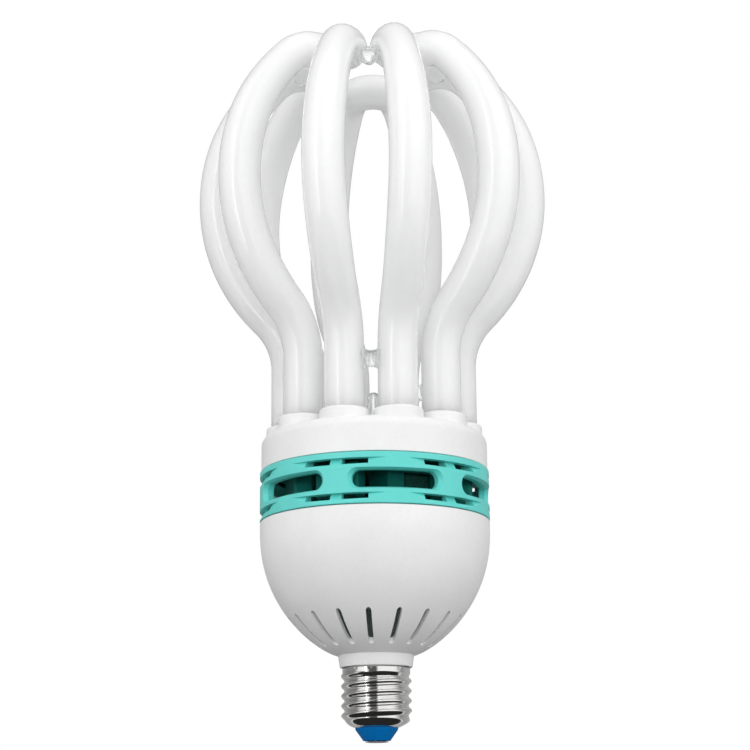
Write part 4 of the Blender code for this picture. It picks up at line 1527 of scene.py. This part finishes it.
@dataclass
class Studio:
    """Floor, world, lamps and the camera.

    Shiny surfaces mirror two ramps of levels: `around` is read by azimuth in degrees from the
    front, at eye level and above, and `pool` by the reach of a direction below eye level.
    """

    floor_height: float = -0.045
    floor_size: float = 8.0
    floor_tones: tuple[float, float] = (0.80, 0.84)
    floor_bounce: float = 0.28
    ambient: float = 1.05
    ambient_lean: float = 0.05
    around: tuple[tuple[float, float], ...] = (
        (-180.0, 0.45), (-115.0, 0.24), (-78.0, 0.22), (-62.0, 0.85), (-30.0, 1.0),
        (-23.0, 0.09), (1.0, 0.09), (6.0, 1.0), (68.0, 0.9), (95.0, 0.25), (115.0, 0.36),
        (180.0, 0.45))
    pool: tuple[tuple[float, float], ...] = (
        (0.0, 0.02), (0.86, 0.02), (0.885, 0.62), (0.91, 0.62), (0.935, 0.34), (1.25, 0.38))
    pool_shift: float = 0.1
    horizon: tuple[float, float] = (-22.0, -13.0)
    behind: tuple[float, float] = (0.1, 0.5)
    camera_distance: float = 0.664
    camera_height: float = -0.031107
    camera_yaw: float = 0.05
    camera_pitch: float = 14.241
    camera_roll: float = -0.55
    camera_lens: float = 86.305
    aim_height: float = 0.13

    def floor(self) -> None:
        """Lay the floor."""
        item = Bench.settle(Bench.start(
            "studio_floor", bpy.ops.mesh.primitive_grid_add, x_subdivisions=8, y_subdivisions=8,
            size=self.floor_size, location=(0.0, 0.0, self.floor_height)))
        material, nodes, shader = Nodes.material("floor_paint")
        dark, light = ((tone, tone, tone) for tone in self.floor_tones)
        tone = nodes.blend(nodes.noise(3.0), dark, light)
        ray = nodes.add("ShaderNodeLightPath").outputs
        tone = nodes.blend(ray["Is Diffuse Ray"], tone, (self.floor_bounce,) * 3)
        nodes.feed(shader.inputs["Base Color"], tone)
        nodes.feed(shader.inputs["Roughness"], 0.9)
        item.data.materials.append(material)
        item.visible_glossy = False

    def mirrored(self, nodes: Nodes) -> tuple[Socket, ...]:
        """Lay out what shiny surfaces mirror: soft boxes, and a dark room in front.

        Args:
            nodes: Wiring helper of the world.

        Returns:
            The level by direction, the share by which a direction is at the back, and the
            level of the even light, a little stronger from the front.
        """
        across, deep, up = nodes.axes("Generated")
        front = nodes.maths("MULTIPLY", deep, -1.0)
        turn = nodes.maths("ARCTAN2", across, front)
        turn = nodes.maths("MULTIPLY_ADD", turn, 1.0 / math.tau, 0.5)
        around = nodes.ramp(turn, [(angle / 360.0 + 0.5, level) for angle, level in self.around])
        ahead = nodes.maths("ADD", deep, self.pool_shift)
        side = nodes.maths("MULTIPLY", across, across)
        reach = nodes.maths("SQRT", nodes.maths("MULTIPLY_ADD", ahead, ahead, side))
        widest = self.pool[-1][0]
        pool = nodes.ramp(nodes.maths("DIVIDE", reach, widest),
                          [(place / widest, level) for place, level in self.pool])
        low, high = (math.sin(math.radians(angle)) for angle in self.horizon)
        level = nodes.lerp(nodes.span(up, low, high, "SMOOTHSTEP"), pool, around)
        back = nodes.span(deep, *self.behind, "SMOOTHSTEP")
        even = nodes.maths("MULTIPLY_ADD", front, self.ambient * self.ambient_lean, self.ambient)
        return level, back, even

    def world(self) -> None:
        """Light evenly from all round, and show white to the camera and through clear glass."""
        world = bpy.data.worlds.new("studio")
        bpy.context.scene.world = world
        world.use_nodes = True
        nodes = Nodes(world.node_tree)
        back = world.node_tree.nodes["Background"]
        nodes.feed(back.inputs["Color"], (1.0, 1.0, 1.0))
        ray = nodes.add("ShaderNodeLightPath").outputs
        mirrored, behind, even = self.mirrored(nodes)
        level = nodes.lerp(ray["Is Glossy Ray"], even, mirrored)
        through = nodes.lerp(behind, mirrored, 1.0)
        level = nodes.lerp(ray["Is Transmission Ray"], level, through)
        level = nodes.lerp(ray["Is Camera Ray"], level, 1.0)
        nodes.feed(back.inputs["Strength"], level)

    @staticmethod
    def stand(name: str, data: bpy.types.Light | bpy.types.Camera) -> Item:
        """Link a light or a camera to the scene."""
        item = bpy.data.objects.new(name, data)
        bpy.context.scene.collection.objects.link(item)
        return item

    def lamp(self, name: str, place: Triple, size: tuple[float, float],
             power: float, mirrored: bool = False) -> None:
        """Hang a soft box that faces the lamp.

        Args:
            name: Name of the light.
            place: Azimuth from the front in degrees, height and distance.
            size: Width and height of the box.
            power: Power in watts.
            mirrored: Whether shiny surfaces show it.
        """
        azimuth, height, distance = place
        data = bpy.data.lights.new(name, "AREA")
        data.shape = "RECTANGLE"
        data.size, data.size_y = size
        data.energy = power
        item = self.stand(name, data)
        item.location = spot(distance, azimuth, height)
        aim = Vector((0.0, 0.0, self.aim_height)) - item.location
        item.rotation_euler = aim.to_track_quat("-Z", "Y").to_euler()
        item.visible_glossy = mirrored

    def camera(self) -> None:
        """Set up the camera of the photograph."""
        data = bpy.data.cameras.new("camera")
        data.sensor_width = 36.0
        data.lens = self.camera_lens
        data.clip_start = 0.01
        data.clip_end = 20.0
        item = self.stand("camera", data)
        yaw, pitch, roll = (math.radians(angle) for angle in (
            self.camera_yaw, self.camera_pitch, self.camera_roll))
        ahead = Vector((math.sin(yaw) * math.cos(pitch), math.cos(yaw) * math.cos(pitch),
                        math.sin(pitch)))
        side = Vector((math.cos(yaw), -math.sin(yaw), 0.0))
        above = side.cross(ahead)
        right = side * math.cos(roll) + above * math.sin(roll)
        up = above * math.cos(roll) - side * math.sin(roll)
        turn = Matrix((right, up, -ahead)).transposed()
        item.location = (0.0, -self.camera_distance, self.camera_height)
        item.rotation_euler = turn.to_euler()
        bpy.context.scene.camera = item

    def build(self) -> None:
        """Set up the whole studio."""
        self.floor()
        self.world()
        self.lamp("strip_left", (-36.0, 0.35, 1.3), (0.07, 1.3), 1.2, mirrored=True)
        self.lamp("box_left", (-72.0, 0.18, 1.2), (0.7, 1.0), 1.0)
        self.lamp("box_right", (62.0, 0.18, 1.2), (0.7, 1.0), 2.6)
        self.lamp("box_front", (-8.0, 0.35, 1.3), (1.0, 0.7), 1.4)
        self.lamp("box_low", (4.0, 0.03, 1.2), (0.5, 0.3), 4.0)
        self.camera()
        bpy.context.scene.view_settings.view_transform = "Standard"


def main() -> None:
    """Build the lamp's looks and its studio in order."""
    logging.basicConfig(level=logging.INFO, format="%(name)s %(message)s")
    paints = Paints()
    ScrewCap(paints).build()
    LowerHousing(paints).build()
    VentRing(paints).build()
    UpperCover(paints).build()
    Glass(paints).build()
    inner = InnerParts(paints)
    inner.capacitor()
    replaced = {name for item in bpy.data.objects for name in item.get("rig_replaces", [])}
    inner.build(replaced)
    Studio().build()


if __name__ == "__main__":
    main()
